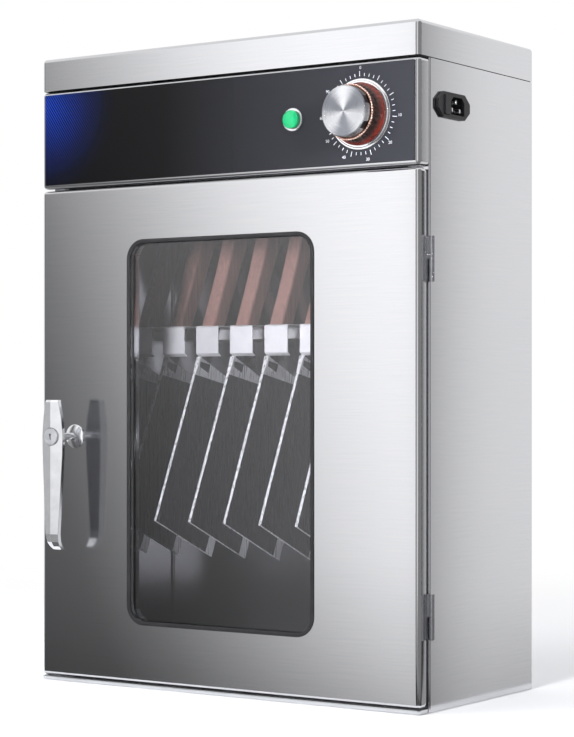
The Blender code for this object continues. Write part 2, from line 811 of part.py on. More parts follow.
def make_knob(body):
    """Fluted skirt, beaded ring and spun cap, one behind the other on the timer's shaft."""
    centre = (KNOB_X, OVERLAY_FRONT_Y, CONTROLS_Z)
    low = DIAL_HEIGHT + SEAT_GAP
    top = low + SKIRT_HEIGHT
    skirt = frozen(turned("knob_skirt", skirt_profile(), FLUTE_COUNT * COLUMNS_PER_FLUTE, ring=True))
    ripple(skirt, FLUTE_COUNT, FLUTE_DEPTH, SKIRT_WAIST - FLUTE_DEPTH, low + SKIRT_RIM, top - SKIRT_RIM / 2)
    place(skirt, "red_brown_plastic", body, centre, FACING_FRONT)

    ring_low = top + SEAT_GAP
    middle = ring_low + BEAD_RADIUS
    ring_inner = CAP_RADIUS - NOTCH_DEPTH - SHEET
    section = [(ring_inner, middle + BEAD_RADIUS)]
    section += arc((SKIRT_SHOULDER, middle), BEAD_RADIUS, 90, -90, BEND_STEPS)
    section += [(ring_inner, ring_low)]
    beads = frozen(turned("knob_bead_ring", section, BEAD_COUNT * COLUMNS_PER_FLUTE, ring=True))
    reach = (middle - BEAD_RADIUS, middle + BEAD_RADIUS)
    ripple(beads, BEAD_COUNT, BEAD_DEPTH, SKIRT_SHOULDER, *reach)
    place(beads, "copper_bead", body, centre, FACING_FRONT)

    cap_low = middle + BEAD_RADIUS + SEAT_GAP
    cap_top = cap_low + CAP_LENGTH
    stub = ring_inner - SEAT_GAP
    stub_low = top + SEAT_GAP
    bore_top = stub_low + SHAFT_INSERT
    profile = [
        (0, cap_top),
        (CAP_RADIUS - CAP_EDGE, cap_top),
        (CAP_RADIUS, cap_top - CAP_EDGE),
        (CAP_RADIUS, cap_low),
        (stub, cap_low),
        (stub, stub_low),
        (SHAFT_RADIUS + SEAT_GAP, stub_low),
        (SHAFT_RADIUS + SEAT_GAP, bore_top),
        (0, bore_top),
    ]
    cap = turned("knob_cap", profile, FINE_SIDES)
    place(cap, "spun_aluminium", body, centre, FACING_FRONT)
    for i in range(NOTCH_COUNT):
        tool = block(
            f"notch_{i + 1}",
            (CAP_RADIUS - NOTCH_DEPTH, -NOTCH_WIDTH / 2, cap_low - OVERRUN),
            (CAP_RADIUS + OVERRUN, NOTCH_WIDTH / 2, cap_top + OVERRUN),
        )
        turn = math.radians(NOTCH_START_DEGREES) + FULL_TURN * i / NOTCH_COUNT
        spin = Matrix.Rotation(QUARTER_TURN, 4, "X") @ Matrix.Rotation(turn, 4, "Z")
        tool.matrix_local = Matrix.Translation(centre) @ spin
        cut(cap, tool)

    shaft_end = OVERLAY_FRONT_Y - bore_top + SEAT_GAP
    shaft_start = FRONT_Y + SHEET + SEAT_GAP + SHAFT_INSERT
    shaft = rod(
        "timer_shaft",
        SHAFT_RADIUS,
        (0, shaft_end - OVERLAY_FRONT_Y, 0),
        (0, shaft_start - OVERLAY_FRONT_Y, 0),
        SMALL_SIDES,
    )
    place(shaft, "dark_steel", body, centre)


def make_timer_body():
    front = FRONT_Y + SHEET + SEAT_GAP
    timer = rod("timer_body", TIMER_RADIUS, (0, front, 0), (0, front + TIMER_LENGTH, 0))
    bore_end = front + SHAFT_INSERT + SEAT_GAP
    bore = rod("timer_bore", SHAFT_RADIUS + SEAT_GAP, (0, front - OVERRUN, 0), (0, bore_end, 0), SMALL_SIDES)
    bore.location = (KNOB_X, 0, CONTROLS_Z)
    place(timer, "white_plastic", location=(KNOB_X, 0, CONTROLS_Z))
    cut(timer, bore)
    return timer


def make_pilot_lamp():
    centre = (PILOT_X, OVERLAY_FRONT_Y, CONTROLS_Z)
    inner = PILOT_BODY_RADIUS - SHEET
    bezel_profile = [
        (inner, BEZEL_HEIGHT / 2),
        (LENS_RADIUS + SEAT_GAP, BEZEL_HEIGHT / 2),
        (LENS_RADIUS + SEAT_GAP, BEZEL_HEIGHT),
        (BEZEL_RADIUS - BEZEL_HEIGHT / 2, BEZEL_HEIGHT),
        (BEZEL_RADIUS, BEZEL_HEIGHT / 2),
        (BEZEL_RADIUS, SEAT_GAP),
        (inner, SEAT_GAP),
    ]
    bezel = turned("pilot_bezel", bezel_profile, ROUND_SIDES, ring=True)
    place(bezel, "chrome", location=centre, rotation=FACING_FRONT)
    lens_low = BEZEL_HEIGHT / 2 + SEAT_GAP
    lens_top = lens_low + LENS_LENGTH
    lens_profile = [
        (0, lens_top),
        (LENS_RADIUS - LENS_EDGE, lens_top),
        (LENS_RADIUS, lens_top - LENS_EDGE),
        (LENS_RADIUS, lens_low),
        (0, lens_low),
    ]
    lens = turned("pilot_lens", lens_profile, ROUND_SIDES)
    place(lens, "green_lens", location=centre, rotation=FACING_FRONT)
    stem = (0, OVERLAY_FRONT_Y - SEAT_GAP / 2, 0)
    body = rod("pilot_body", PILOT_BODY_RADIUS - SHEET - SEAT_GAP, stem, (0, FRONT_Y + PILOT_BODY_LENGTH, 0))
    place(body, "black_plastic", location=(PILOT_X, 0, CONTROLS_Z))
    collar_start = FRONT_Y + SHEET + SEAT_GAP
    collar = rod("pilot_collar", BEZEL_RADIUS, (0, collar_start, 0), (0, collar_start + BEZEL_HEIGHT, 0))
    collar.location = (PILOT_X, 0, CONTROLS_Z)
    fuse(body, collar)


# Door


def window_loop(inset):
    return rounded_rectangle(
        (WINDOW_X, WINDOW_Z),
        WINDOW_WIDTH - 2 * inset,
        WINDOW_HEIGHT - 2 * inset,
        WINDOW_CORNER - inset,
    )


def sleeve_radius():
    return STEM_RADIUS + SEAT_GAP + SLEEVE_WALL


def door_shaft_hole(name):
    start = (HANDLE_X, FRONT_Y - OVERRUN, HANDLE_Z)
    return rod(name, sleeve_radius() + SEAT_GAP, start, (HANDLE_X, CASE_FRONT_Y + OVERRUN, HANDLE_Z))


def hinge_levels():
    return {"upper": HINGE_UPPER_Z, "lower": HINGE_LOWER_Z}


def leaf_front_y():
    return FRONT_REAR_Y - DOOR_LEAF_LENGTH


def make_door_skin(body):
    skin = tray(
        "door_skin",
        (-HALF_WIDTH, FRONT_Y, DOOR_BOTTOM),
        (HALF_WIDTH, FRONT_Y + RETURN_DEPTH, DOOR_TOP),
        (0, 1, 0),
        FRONT_BEND,
    )
    place(skin, "brushed_steel", body)
    window = prism("skin_window", [window_loop(GASKET_HOLD)], FRONT_Y - OVERRUN, FRONT_Y + SHEET + OVERRUN, "XZ")
    cut(skin, window, door_shaft_hole("skin_shaft_hole"))
    for name, level in hinge_levels().items():
        half = HINGE_HEIGHT / 2 + SEAT_GAP
        notch = block(
            f"hinge_notch_{name}",
            (HALF_WIDTH - SHEET - OVERRUN, leaf_front_y() - SEAT_GAP, level - half),
            (HALF_WIDTH + OVERRUN, FRONT_Y + RETURN_DEPTH + OVERRUN, level + half),
        )
        cut(skin, notch)


def make_door_inner_pan(body):
    """Rear half of the door, nested in the skin, with a raised ring that holds the window gasket."""
    inset = SHEET + SEAT_GAP
    pan = tray(
        "door_inner_pan",
        (-HALF_WIDTH + inset, FRONT_Y + FRONT_BEND + SEAT_GAP, DOOR_BOTTOM + inset),
        (HALF_WIDTH - inset, FRONT_REAR_Y, DOOR_TOP - inset),
        (0, -1, 0),
        FRONT_BEND - inset,
    )
    place(pan, "inner_steel", body)
    ring = prism(
        "pan_ring",
        [window_loop(PAN_OPENING_INSET - SHEET), window_loop(PAN_OPENING_INSET)],
        gasket_rear_y() + SEAT_GAP,
        FRONT_REAR_Y - SHEET / 2,
        "XZ",
    )
    fuse(pan, ring)
    window = prism(
        "pan_window", [window_loop(PAN_OPENING_INSET)], FRONT_REAR_Y - SHEET - OVERRUN, FRONT_REAR_Y + OVERRUN, "XZ"
    )
    cut(pan, window, door_shaft_hole("pan_shaft_hole"))


def gasket_front_y():
    return FRONT_Y - GASKET_PROUD


def glass_front_y():
    return gasket_front_y() + GLASS_RECESS


def gasket_rear_y():
    return glass_front_y() + GLASS_THICKNESS + SEAT_GAP + GASKET_TAIL


def make_window_gasket(body):
    """Rubber ring of H section: one groove holds the door skin's edge, the other the glass."""
    gasket = prism(
        "window_gasket", [window_loop(0), window_loop(GASKET_LIP)], gasket_front_y(), gasket_rear_y(), "XZ"
    )
    place(gasket, "black_rubber", body)
    metal_depth = GASKET_HOLD + SEAT_GAP
    metal_groove = prism(
        "gasket_metal_groove",
        [window_loop(-OVERRUN), window_loop(metal_depth)],
        FRONT_Y - SEAT_GAP,
        FRONT_Y + SHEET + SEAT_GAP,
        "XZ",
    )
    glass_groove = prism(
        "gasket_glass_groove",
        [window_loop(metal_depth + GASKET_WEB), window_loop(GASKET_LIP + OVERRUN)],
        glass_front_y() - SEAT_GAP,
        glass_front_y() + GLASS_THICKNESS + SEAT_GAP,
        "XZ",
    )
    cut(gasket, metal_groove, glass_groove)


def make_window_glass(body):
    edge = GASKET_HOLD + SEAT_GAP + GASKET_WEB + SEAT_GAP
    front = glass_front_y()
    glass = prism("window_glass", [window_loop(edge)], front, front + GLASS_THICKNESS, "XZ")
    return place(glass, "clear_glass", body)


# Handle and latch


def make_handle_rosette(body):
    sleeve = sleeve_radius()
    bore = STEM_RADIUS + SEAT_GAP
    end = -FRONT_DEPTH - SLEEVE_STICKOUT
    profile = [
        (bore, ROSETTE_HEIGHT),
        (ROSETTE_TOP_RADIUS, ROSETTE_HEIGHT),
        (ROSETTE_RADIUS, ROSETTE_EDGE + SEAT_GAP),
        (ROSETTE_RADIUS, SEAT_GAP),
        (sleeve, SEAT_GAP),
        (sleeve, end),
        (bore, end),
    ]
    rosette = turned("handle_rosette", profile, ROUND_SIDES, ring=True)
    place(rosette, "chrome", body, (HANDLE_X, FRONT_Y, HANDLE_Z), FACING_FRONT)
    start = FRONT_REAR_Y + SEAT_GAP
    loops = [hexagon((0, 0), NUT_FLATS), circle((0, 0), sleeve + SEAT_GAP)]
    nut = prism("rosette_nut", loops, start, start + NUT_THICKNESS, "XZ")
    place(nut, "dark_steel", body, (HANDLE_X, 0, HANDLE_Z))


# Height along the grip, half width and set-back of each section, as shares of the grip's own sizes
GRIP_SECTION_SHARES = (
    (1.00, 0.60, 0.10),
    (0.94, 0.64, 0.00),
    (0.54, 0.86, 0.00),
    (0.22, 0.96, 0.00),
    (0.00, 1.00, 0.00),
    (-0.16, 0.97, 0.00),
    (-0.38, 0.86, 0.00),
    (-0.62, 0.74, 0.00),
    (-0.86, 0.61, 0.00),
    (-0.93, 0.55, 0.20),
    (-0.97, 0.48, 0.55),
    (-1.00, 0.40, 1.00),
)


def grip_section(height_share, width_share, curl_share):
    """Five-sided section with a front ridge, in local X, Y and Z from the handle's axis at the door face."""
    reach = GRIP_ABOVE if height_share > 0 else GRIP_BELOW
    height = reach * height_share
    half = GRIP_HALF_WIDTH * width_share
    depth = GRIP_THICKNESS * (1 + width_share) / 2
    ridge = -GRIP_STANDOFF + GRIP_CURL * curl_share
    shoulder = ridge + depth * GRIP_SHOULDER_SHARE
    back = half * GRIP_BACK_SHARE
    return (
        (0, ridge, height),
        (half, shoulder, height),
        (back, ridge + depth, height),
        (-back, ridge + depth, height),
        (-half, shoulder, height),
    )


def make_handle(body):
    """T-grip with its stem, cam and nut. The cam hangs beside the flange at rest and turns behind it."""
    centre = (HANDLE_X, FRONT_Y, HANDLE_Z)
    grip = loft("handle_grip", [grip_section(*shares) for shares in GRIP_SECTION_SHARES])
    place(grip, "chrome", body, centre)
    rear = -GRIP_STANDOFF + GRIP_THICKNESS
    plug_floor = -GRIP_STANDOFF + PLUG_DEPTH
    plug_bore = rod("grip_plug_bore", PLUG_RADIUS + SEAT_GAP, (0, -GRIP_STANDOFF - OVERRUN, 0), (0, plug_floor, 0))
    stem_bore = rod("grip_stem_bore", STEM_RADIUS + SEAT_GAP, (0, rear - STEM_INSERT, 0), (0, rear + OVERRUN, 0))
    for tool in (plug_bore, stem_bore):
        tool.location = centre
        cut(grip, tool)

    flange_rear = FRONT_DEPTH + FRONT_SEAM + SHEET
    cam_front = flange_rear + CAM_CLEARANCE
    stem = rod(
        "handle_shaft",
        STEM_RADIUS,
        (0, rear - STEM_INSERT + SEAT_GAP, 0),
        (0, cam_front - SEAT_GAP, 0),
        SMALL_SIDES,
    )
    half = SQUARE_SIDE / 2
    square = block("shaft_square", (-half, cam_front - OVERRUN, -half), (half, cam_front + SQUARE_LENGTH, half))
    square.location = centre
    place(stem, "chrome", body, centre)
    fuse(stem, square)

    cam_outline = arc((0, 0), CAM_RADIUS, 0, 180, CORNER_STEPS + 1)
    cam_outline += arc((0, -CAM_LENGTH), CAM_TIP_RADIUS, 180, 360, CORNER_STEPS + 1)
    eye = half + SEAT_GAP
    square_hole = [(-eye, -eye), (eye, -eye), (eye, eye), (-eye, eye)]
    cam = prism("latch_cam", [cam_outline, square_hole], cam_front, cam_front + CAM_THICKNESS, "XZ")
    place(cam, "dark_steel", body, centre)
    nut_front = cam_front + CAM_THICKNESS + SEAT_GAP
    nut_hole = circle((0, 0), half * math.sqrt(2) + SEAT_GAP, SMALL_SIDES)
    loops = [hexagon((0, 0), CAM_NUT_FLATS), nut_hole]
    nut = prism("cam_nut", loops, nut_front, nut_front + CAM_NUT_THICKNESS, "XZ")
    place(nut, "dark_steel", body, centre)


def make_lock_plug(body):
    centre = (HANDLE_X, FRONT_Y, HANDLE_Z)
    floor = -GRIP_STANDOFF + PLUG_DEPTH - SEAT_GAP
    face = -GRIP_STANDOFF - PLUG_PROUD
    plug = rod("lock_plug", PLUG_RADIUS, (0, face, 0), (0, floor, 0))
    place(plug, "chrome", body, centre)
    slot = block(
        "key_slot",
        (-KEY_SLOT_WIDTH / 2, face - OVERRUN, -KEY_SLOT_LENGTH / 2),
        (KEY_SLOT_WIDTH / 2, face + KEY_SLOT_DEPTH, KEY_SLOT_LENGTH / 2),
    )
    slot.location = centre
    cut(plug, slot)


# Hinges


def knuckle(name, low, high):
    """Tube round the hinge pin between two levels."""
    centre = (HINGE_X, HINGE_Y)
    loops = [circle(centre, KNUCKLE_RADIUS, SMALL_SIDES), circle(centre, PIN_RADIUS + SEAT_GAP, SMALL_SIDES)]
    return prism(name, loops, low, high)


def make_hinge(name, level, door):
    """One lift-off hinge: the body's knuckle below carries the pin, the door's knuckle above turns on it."""
    low, high = level - HINGE_HEIGHT / 2, level + HINGE_HEIGHT / 2
    split_low, split_high = level - KNUCKLE_GAP / 2, level + KNUCKLE_GAP / 2
    bore_edge = HINGE_X - PIN_RADIUS - 2 * SEAT_GAP

    body_leaf = knuckle(f"hinge_{name}_body_leaf", low, split_low)
    body_rear = CASE_FRONT_Y - SEAT_GAP
    body_front = body_rear - BODY_LEAF_THICKNESS
    plate_edge = HALF_WIDTH - SHEET - SEAT_GAP
    plate_low = (plate_edge - BODY_LEAF_LENGTH, body_front, low)
    plate = block(f"hinge_{name}_body_plate", plate_low, (plate_edge, body_rear, high))
    neck_low = (plate_edge - OVERRUN, body_front, low)
    neck = block(f"hinge_{name}_body_neck", neck_low, (bore_edge, body_rear, split_low))
    place(body_leaf, "dark_steel")
    fuse(body_leaf, neck, plate)

    door_leaf = knuckle(f"hinge_{name}_door_leaf", split_high, high)
    inner = HALF_WIDTH - SHEET
    plate = block(
        f"hinge_{name}_door_plate",
        (inner, leaf_front_y(), low),
        (HALF_WIDTH, FRONT_REAR_Y - SEAT_GAP, high),
    )
    bend_y = FRONT_REAR_Y - LEAF_NECK
    outline = [
        (inner, bend_y - SHEET),
        (HALF_WIDTH, bend_y - SHEET),
        (HINGE_X - SHEET, HINGE_Y - KNUCKLE_RADIUS + SHEET),
        (bore_edge, HINGE_Y),
        (HALF_WIDTH, HINGE_Y),
    ]
    neck = prism(f"hinge_{name}_door_neck", [outline], split_high, high)
    place(door_leaf, "dark_steel", door)
    fuse(door_leaf, neck, plate)

    pin = rod(f"hinge_{name}_pin", PIN_RADIUS, (HINGE_X, HINGE_Y, low), (HINGE_X, HINGE_Y, high), SMALL_SIDES)
    head_top = low - SEAT_GAP
    head = rod(
        f"hinge_{name}_pin_head",
        KNUCKLE_RADIUS - SEAT_GAP,
        (HINGE_X, HINGE_Y, head_top - PIN_HEAD),
        (HINGE_X, HINGE_Y, head_top),
        SMALL_SIDES,
    )
    neck = rod(
        f"hinge_{name}_pin_neck", PIN_RADIUS, (HINGE_X, HINGE_Y, head_top - PIN_HEAD / 2), (HINGE_X, HINGE_Y, level),
        SMALL_SIDES,
    )
    place(pin, "chrome")
    fuse(pin, neck, head)


# Rack and cleavers


def rack_profile():
    """Section of the comb from its rear lip over the plate and down the toothed front to the curled ends."""
    rear = RACK_FRONT_Y + RACK_LENGTH
    lip_end = RACK_TOP - RACK_LIP
    points = [(rear, RACK_TOP - RACK_REAR_LIP)]
    points += arc((rear - RACK_BEND, RACK_TOP - RACK_BEND), RACK_BEND, 0, 90, BEND_STEPS)
    points += arc((RACK_FRONT_Y + RACK_BEND, RACK_TOP - RACK_BEND), RACK_BEND, 90, 180, BEND_STEPS)
    points += [(RACK_FRONT_Y, lip_end), (RACK_FRONT_Y + RACK_CURL_BACK, lip_end - RACK_CURL_DOWN)]
    return points


def slot_x(index):
    return SLOT_FIRST_X + SLOT_PITCH * index


def slot_outline(x):
    half = SLOT_WIDTH / 2
    end = RACK_FRONT_Y + SLOT_REACH - half
    front = RACK_FRONT_Y - OVERRUN
    return [(x - half, front), (x + half, front)] + arc((x, end), half, 0, 180, CORNER_STEPS)


def make_rack():
    half = INNER_HALF_WIDTH - SHEET - RACK_END_CLEARANCE
    comb = folded_sheet("rack_comb", rack_profile(), -half, half, "YZ", SHEET, -1)
    place(comb, "inner_steel")
    for i in range(SLOT_COUNT):
        low = RACK_TOP - RACK_LIP - RACK_CURL_DOWN - OVERRUN
        cut(comb, prism(f"rack_slot_{i + 1}", [slot_outline(slot_x(i))], low, RACK_TOP + OVERRUN))
    for name, side in (("left", -1), ("right", 1)):
        shelf_top = RACK_TOP - SHEET - SEAT_GAP
        front = RACK_FRONT_Y + BRACKET_SET_BACK + RACK_CURL_BACK
        rear = RACK_FRONT_Y + RACK_LENGTH - BRACKET_SET_BACK
        outer = side * INNER_HALF_WIDTH
        inner = side * (INNER_HALF_WIDTH - BRACKET_LEG)
        upright = side * (INNER_HALF_WIDTH - SHEET)
        xs = sorted((outer, inner))
        bracket = block(f"rack_bracket_{name}", (xs[0], front, shelf_top - SHEET), (xs[1], rear, shelf_top))
        xs = sorted((outer, upright))
        leg = block(f"bracket_leg_{name}", (xs[0], front, shelf_top - BRACKET_DROP), (xs[1], rear, shelf_top))
        place(bracket, "inner_steel")
        fuse(bracket, leg)


def knife_frame(index):
    """Empty on the rack's top face in a slot, leaning with the knife. Its local Z is the way the knife lifts."""
    location = (slot_x(index), RACK_FRONT_Y + KNIFE_SET_BACK, RACK_TOP)
    return joint_frame(f"knife_{index + 1}_frame", location, (-KNIFE_LEAN, 0, 0))


def blade_section(height, back, thickness, bevel_thickness):
    """Thin wedge section: spine at the front, a long flat, and the ground bevel to the cutting edge."""
    spine, bevel, edge = thickness / 2, bevel_thickness / 2, EDGE_THICKNESS / 2
    flat_end = back - BLADE_BEVEL
    return (
        (spine, 0, height),
        (bevel, flat_end, height),
        (edge, back, height),
        (-edge, back, height),
        (-bevel, flat_end, height),
        (-spine, 0, height),
    )


def make_knife(index):
    frame = knife_frame(index)
    world = frame_of(frame)
    name = f"knife_{index + 1}"
    top = -BLADE_DROP
    blade = loft(
        f"{name}_blade",
        [
            blade_section(top - BLADE_LENGTH, BLADE_WIDTH, BLADE_THICKNESS, BLADE_THICKNESS),
            blade_section(top - BOLSTER_LENGTH, BLADE_WIDTH, BLADE_THICKNESS, BLADE_THICKNESS),
            blade_section(top, BLADE_WIDTH - BLADE_SKEW, BOLSTER_THICKNESS, BLADE_THICKNESS),
        ],
    )
    place(blade, "blade_steel")
    blade.parent = frame
    half = BOLSTER_THICKNESS / 2 - EDGE_THICKNESS / 2
    neck = block(
        f"{name}_neck",
        (-half, NECK_FRONT, top - BOLSTER_LENGTH / 2),
        (half, NECK_FRONT + NECK_WIDTH, BLADE_DROP),
    )
    neck.matrix_local = world
    above = block(
        f"{name}_neck_trim",
        (slot_x(index) - SLOT_WIDTH, RACK_FRONT_Y - OVERRUN, RACK_TOP),
        (slot_x(index) + SLOT_WIDTH, BACK_Y, RACK_TOP + 2 * BLADE_DROP),
    )
    fuse(blade, neck)
    cut(blade, above)

    grip = prism(f"{name}_handle", [knife_grip_outline()], -KNIFE_GRIP_THICKNESS / 2, KNIFE_GRIP_THICKNESS / 2, "YZ")
    round_edges(grip, KNIFE_GRIP_ROUND)
    place(grip, "brown_wood")
    grip.parent = frame
    below = block(
        f"{name}_grip_trim",
        (slot_x(index) - SLOT_WIDTH, RACK_FRONT_Y - OVERRUN, RACK_TOP - 2 * KNIFE_GRIP_DEPTH),
        (slot_x(index) + SLOT_WIDTH, BACK_Y, RACK_TOP + SEAT_GAP),
    )
    cut(grip, below)


# Height along the knife's grip and the bow of its front edge, as shares of length and flare
KNIFE_GRIP_SHARES = ((0.0, 0.0), (0.3, 0.02), (0.55, 0.2), (0.78, 0.55), (1.0, 1.0))


def knife_grip_outline():
    """Side outline of the grip: the front edge bows forward and the back swells to a rounded butt."""
    front = [
        (-KNIFE_GRIP_FLARE * bow, KNIFE_GRIP_LENGTH * height) for height, bow in KNIFE_GRIP_SHARES
    ]
    back = [
        (KNIFE_GRIP_DEPTH + KNIFE_GRIP_FLARE * bow / 2, KNIFE_GRIP_LENGTH * height)
        for height, bow in KNIFE_GRIP_SHARES
    ]
    foot = -KNIFE_GRIP_DEPTH
    return [(0, foot)] + front + back[::-1] + [(KNIFE_GRIP_DEPTH, foot)]


# Lamp, its gear and the mains inlet


def make_lamp():
    level = SHELF_TOP - SHEET - LAMP_DROP
    half = LAMP_LENGTH / 2
    tube = rod("uv_lamp_tube", LAMP_RADIUS, (-half, LAMP_Y, level), (half, LAMP_Y, level))
    place(tube, "lamp_glass")
    for name, side in (("left", -1), ("right", 1)):
        near = side * (half - LAMP_INSERT)
        far = side * (half + HOLDER_LENGTH - LAMP_INSERT)
        xs = sorted((near, far))
        holder = block(
            f"lamp_holder_{name}",
            (xs[0], LAMP_Y - HOLDER_WIDTH / 2, level - LAMP_RADIUS - HOLDER_MARGIN),
            (xs[1], LAMP_Y + HOLDER_WIDTH / 2, SHELF_TOP - SHEET - SEAT_GAP),
        )
        place(holder, "white_plastic")
        pocket = rod(
            f"holder_pocket_{name}",
            LAMP_RADIUS + SEAT_GAP,
            (near - side * OVERRUN, LAMP_Y, level),
            (side * (half + SEAT_GAP), LAMP_Y, level),
        )
        cut(holder, pocket)


def make_ballast():
    floor = SHELF_TOP + SEAT_GAP
    low = (BALLAST_X - BALLAST_LENGTH / 2, BALLAST_Y - BALLAST_WIDTH / 2, floor)
    high = (BALLAST_X + BALLAST_LENGTH / 2, BALLAST_Y + BALLAST_WIDTH / 2, floor + BALLAST_HEIGHT)
    ballast = block("ballast", low, high)
    ears = block(
        "ballast_ears",
        (low[0] - BALLAST_EAR, low[1] + BALLAST_EAR / 2, floor),
        (high[0] + BALLAST_EAR, high[1] - BALLAST_EAR / 2, floor + BALLAST_EAR_HEIGHT),
    )
    place(ballast, "white_plastic")
    fuse(ballast, ears)


def make_terminal_block():
    floor = SHELF_TOP + SEAT_GAP
    half = TERMINAL_PITCH * TERMINAL_COUNT / 2
    low = (TERMINAL_X - half, TERMINAL_Y - TERMINAL_WIDTH / 2, floor)
    high = (TERMINAL_X + half, TERMINAL_Y + TERMINAL_WIDTH / 2, floor + TERMINAL_HEIGHT)
    strip = block("terminal_block", low, high)
    place(strip, "white_plastic")
    for i in range(1, TERMINAL_COUNT):
        x = low[0] + TERMINAL_PITCH * i
        groove = block(
            f"terminal_groove_{i}",
            (x - TERMINAL_GROOVE / 2, low[1] - OVERRUN, high[2] - TERMINAL_GROOVE_DEPTH),
            (x + TERMINAL_GROOVE / 2, high[1] + OVERRUN, high[2] + OVERRUN),
        )
        cut(strip, groove)


def inlet_outline():
    """Face of the inlet: a block with a tapered screw ear at each end."""
    corner, tip = INLET_SHOULDER, INLET_HALF_LENGTH
    high, ear = INLET_HALF_HEIGHT, INLET_EAR_HALF_HEIGHT
    right = [(corner, -high), (tip, -ear), (tip, ear), (corner, high)]
    points = right + [(-across, -up) for across, up in right]
    return [(INLET_Y + across, INLET_Z + up) for across, up in points]


def socket_outline():
    """Opening of the appliance inlet, with its two upper corners cut off."""
    half, high, chamfer = SOCKET_WIDTH / 2, SOCKET_HEIGHT / 2, SOCKET_CHAMFER
    points = [(-half, -high), (half, -high), (half, high - chamfer), (half - chamfer, high)]
    points += [(chamfer - half, high), (-half, high - chamfer)]
    return [(INLET_Y + SOCKET_OFFSET + across, INLET_Z + up) for across, up in points]


def make_inlet():
    housing = prism("inlet_housing", [inlet_outline()], HALF_WIDTH + SEAT_GAP, INLET_FACE_X, "YZ")
    place(housing, "black_plastic")
    body = block(
        "inlet_body",
        (INLET_FACE_X - INLET_BODY_LENGTH, INLET_Y - INLET_BODY_HALF_LENGTH, INLET_Z - INLET_BODY_HALF_HEIGHT),
        (INLET_FACE_X - INLET_FLANGE / 2, INLET_Y + INLET_BODY_HALF_LENGTH, INLET_Z + INLET_BODY_HALF_HEIGHT),
    )
    fuse(housing, body)
    socket_floor = INLET_FACE_X - SOCKET_DEPTH
    socket = prism("inlet_socket", [socket_outline()], socket_floor, INLET_FACE_X + OVERRUN, "YZ")
    half = FUSE_TRAY_WIDTH / 2 + SEAT_GAP
    high = FUSE_TRAY_HEIGHT / 2 + SEAT_GAP
    middle = INLET_Y + FUSE_OFFSET
    bay = block(
        "fuse_bay",
        (INLET_FACE_X - FUSE_TRAY_LENGTH - SEAT_GAP, middle - half, INLET_Z - high),
        (INLET_FACE_X + OVERRUN, middle + half, INLET_Z + high),
    )
    cut(housing, socket, bay)
    centre = INLET_Y + SOCKET_OFFSET
    pins = {
        "earth": (centre, INLET_Z + EARTH_PIN_RISE),
        "left": (centre - PIN_SPREAD, INLET_Z - LIVE_PIN_DROP),
        "right": (centre + PIN_SPREAD, INLET_Z - LIVE_PIN_DROP),
    }
    start = socket_floor + SEAT_GAP
    for name, (y, z) in pins.items():
        pin = block(
            f"inlet_pin_{name}",
            (start, y - PIN_THICKNESS / 2, z - PIN_WIDTH / 2),
            (start + PIN_LENGTH, y + PIN_THICKNESS / 2, z + PIN_WIDTH / 2),
        )
        place(pin, "chrome")


def make_fuse_drawer(body):
    """Drawer beside the socket: a faceplate, a floor and a back that hold one cartridge fuse upright."""
    middle = INLET_Y + FUSE_OFFSET
    half, high = FUSE_TRAY_WIDTH / 2, FUSE_TRAY_HEIGHT / 2
    face = INLET_FACE_X + FUSE_TRAY_FACE
    drawer = block(
        "fuse_drawer",
        (INLET_FACE_X - FUSE_TRAY_LENGTH, middle - half, INLET_Z - high),
        (face, middle + half, INLET_Z + high),
    )
    place(drawer, "black_plastic", body)
    fuse_x = INLET_FACE_X - FUSE_INSET
    room = FUSE_RADIUS + SEAT_GAP
    fuse_high = FUSE_LENGTH / 2 + SEAT_GAP
    trough = block(
        "fuse_trough",
        (fuse_x - room, middle - half - OVERRUN, INLET_Z - fuse_high),
        (fuse_x + room, middle + room, INLET_Z + fuse_high),
    )
    cut(drawer, trough)
    half_length = FUSE_LENGTH / 2
    link = rod("fuse_link", FUSE_RADIUS, (fuse_x, middle, INLET_Z - half_length), (fuse_x, middle, INLET_Z + half_length))
    place(link, "lamp_glass", body)


def main():
    global PARTS, CUTTERS
    clear_scene()
    PARTS = make_collection("knife_sterilizer_cabinet")
    CUTTERS = make_collection("cutters")

    make_body_wrapper()
    make_base_pan()
    make_top_cap()
    make_partition_shelf()
    make_control_panel()
    make_panel_overlay()
    make_dial_ring()
    make_timer_body()
    make_pilot_lamp()

    door = joint_frame("door_frame", (HINGE_X, HINGE_Y, 0))
    make_door_skin(door)
    make_door_inner_pan(door)
    make_window_gasket(door)
    make_window_glass(door)
    make_handle_rosette(door)
    for name, level in hinge_levels().items():
        make_hinge(name, level, door)

    handle = joint_frame("handle_frame", (HANDLE_X, FRONT_Y, HANDLE_Z), parent=door)
    make_handle(handle)
    lock = joint_frame("lock_frame", (0, 0, 0), parent=handle)
    lock.location = (0, 0, 0)
    make_lock_plug(lock)
    knob = joint_frame("timer_knob_frame", (KNOB_X, OVERLAY_FRONT_Y, CONTROLS_Z))
    make_knob(knob)

    make_rack()
    for index in range(KNIFE_COUNT):
        make_knife(index)
    make_lamp()
    make_ballast()
    make_terminal_block()
    make_inlet()
    fuse_tray = joint_frame("fuse_tray_frame", (INLET_FACE_X, INLET_Y + FUSE_OFFSET, INLET_Z))
    make_fuse_drawer(fuse_tray)


main()
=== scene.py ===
"""Looks of the knife sterilizer cabinet: brushed sheet steel, a glazed door, a timer knob, a pilot lamp and a rack of
cleavers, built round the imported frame. Metres, +Z up. The door faces -Y."""

import logging
import math
from collections.abc import Callable, Iterable, Sequence
from dataclasses import dataclass, field, replace
from enum import Enum

import bmesh
import bpy
from mathutils import Matrix, Vector


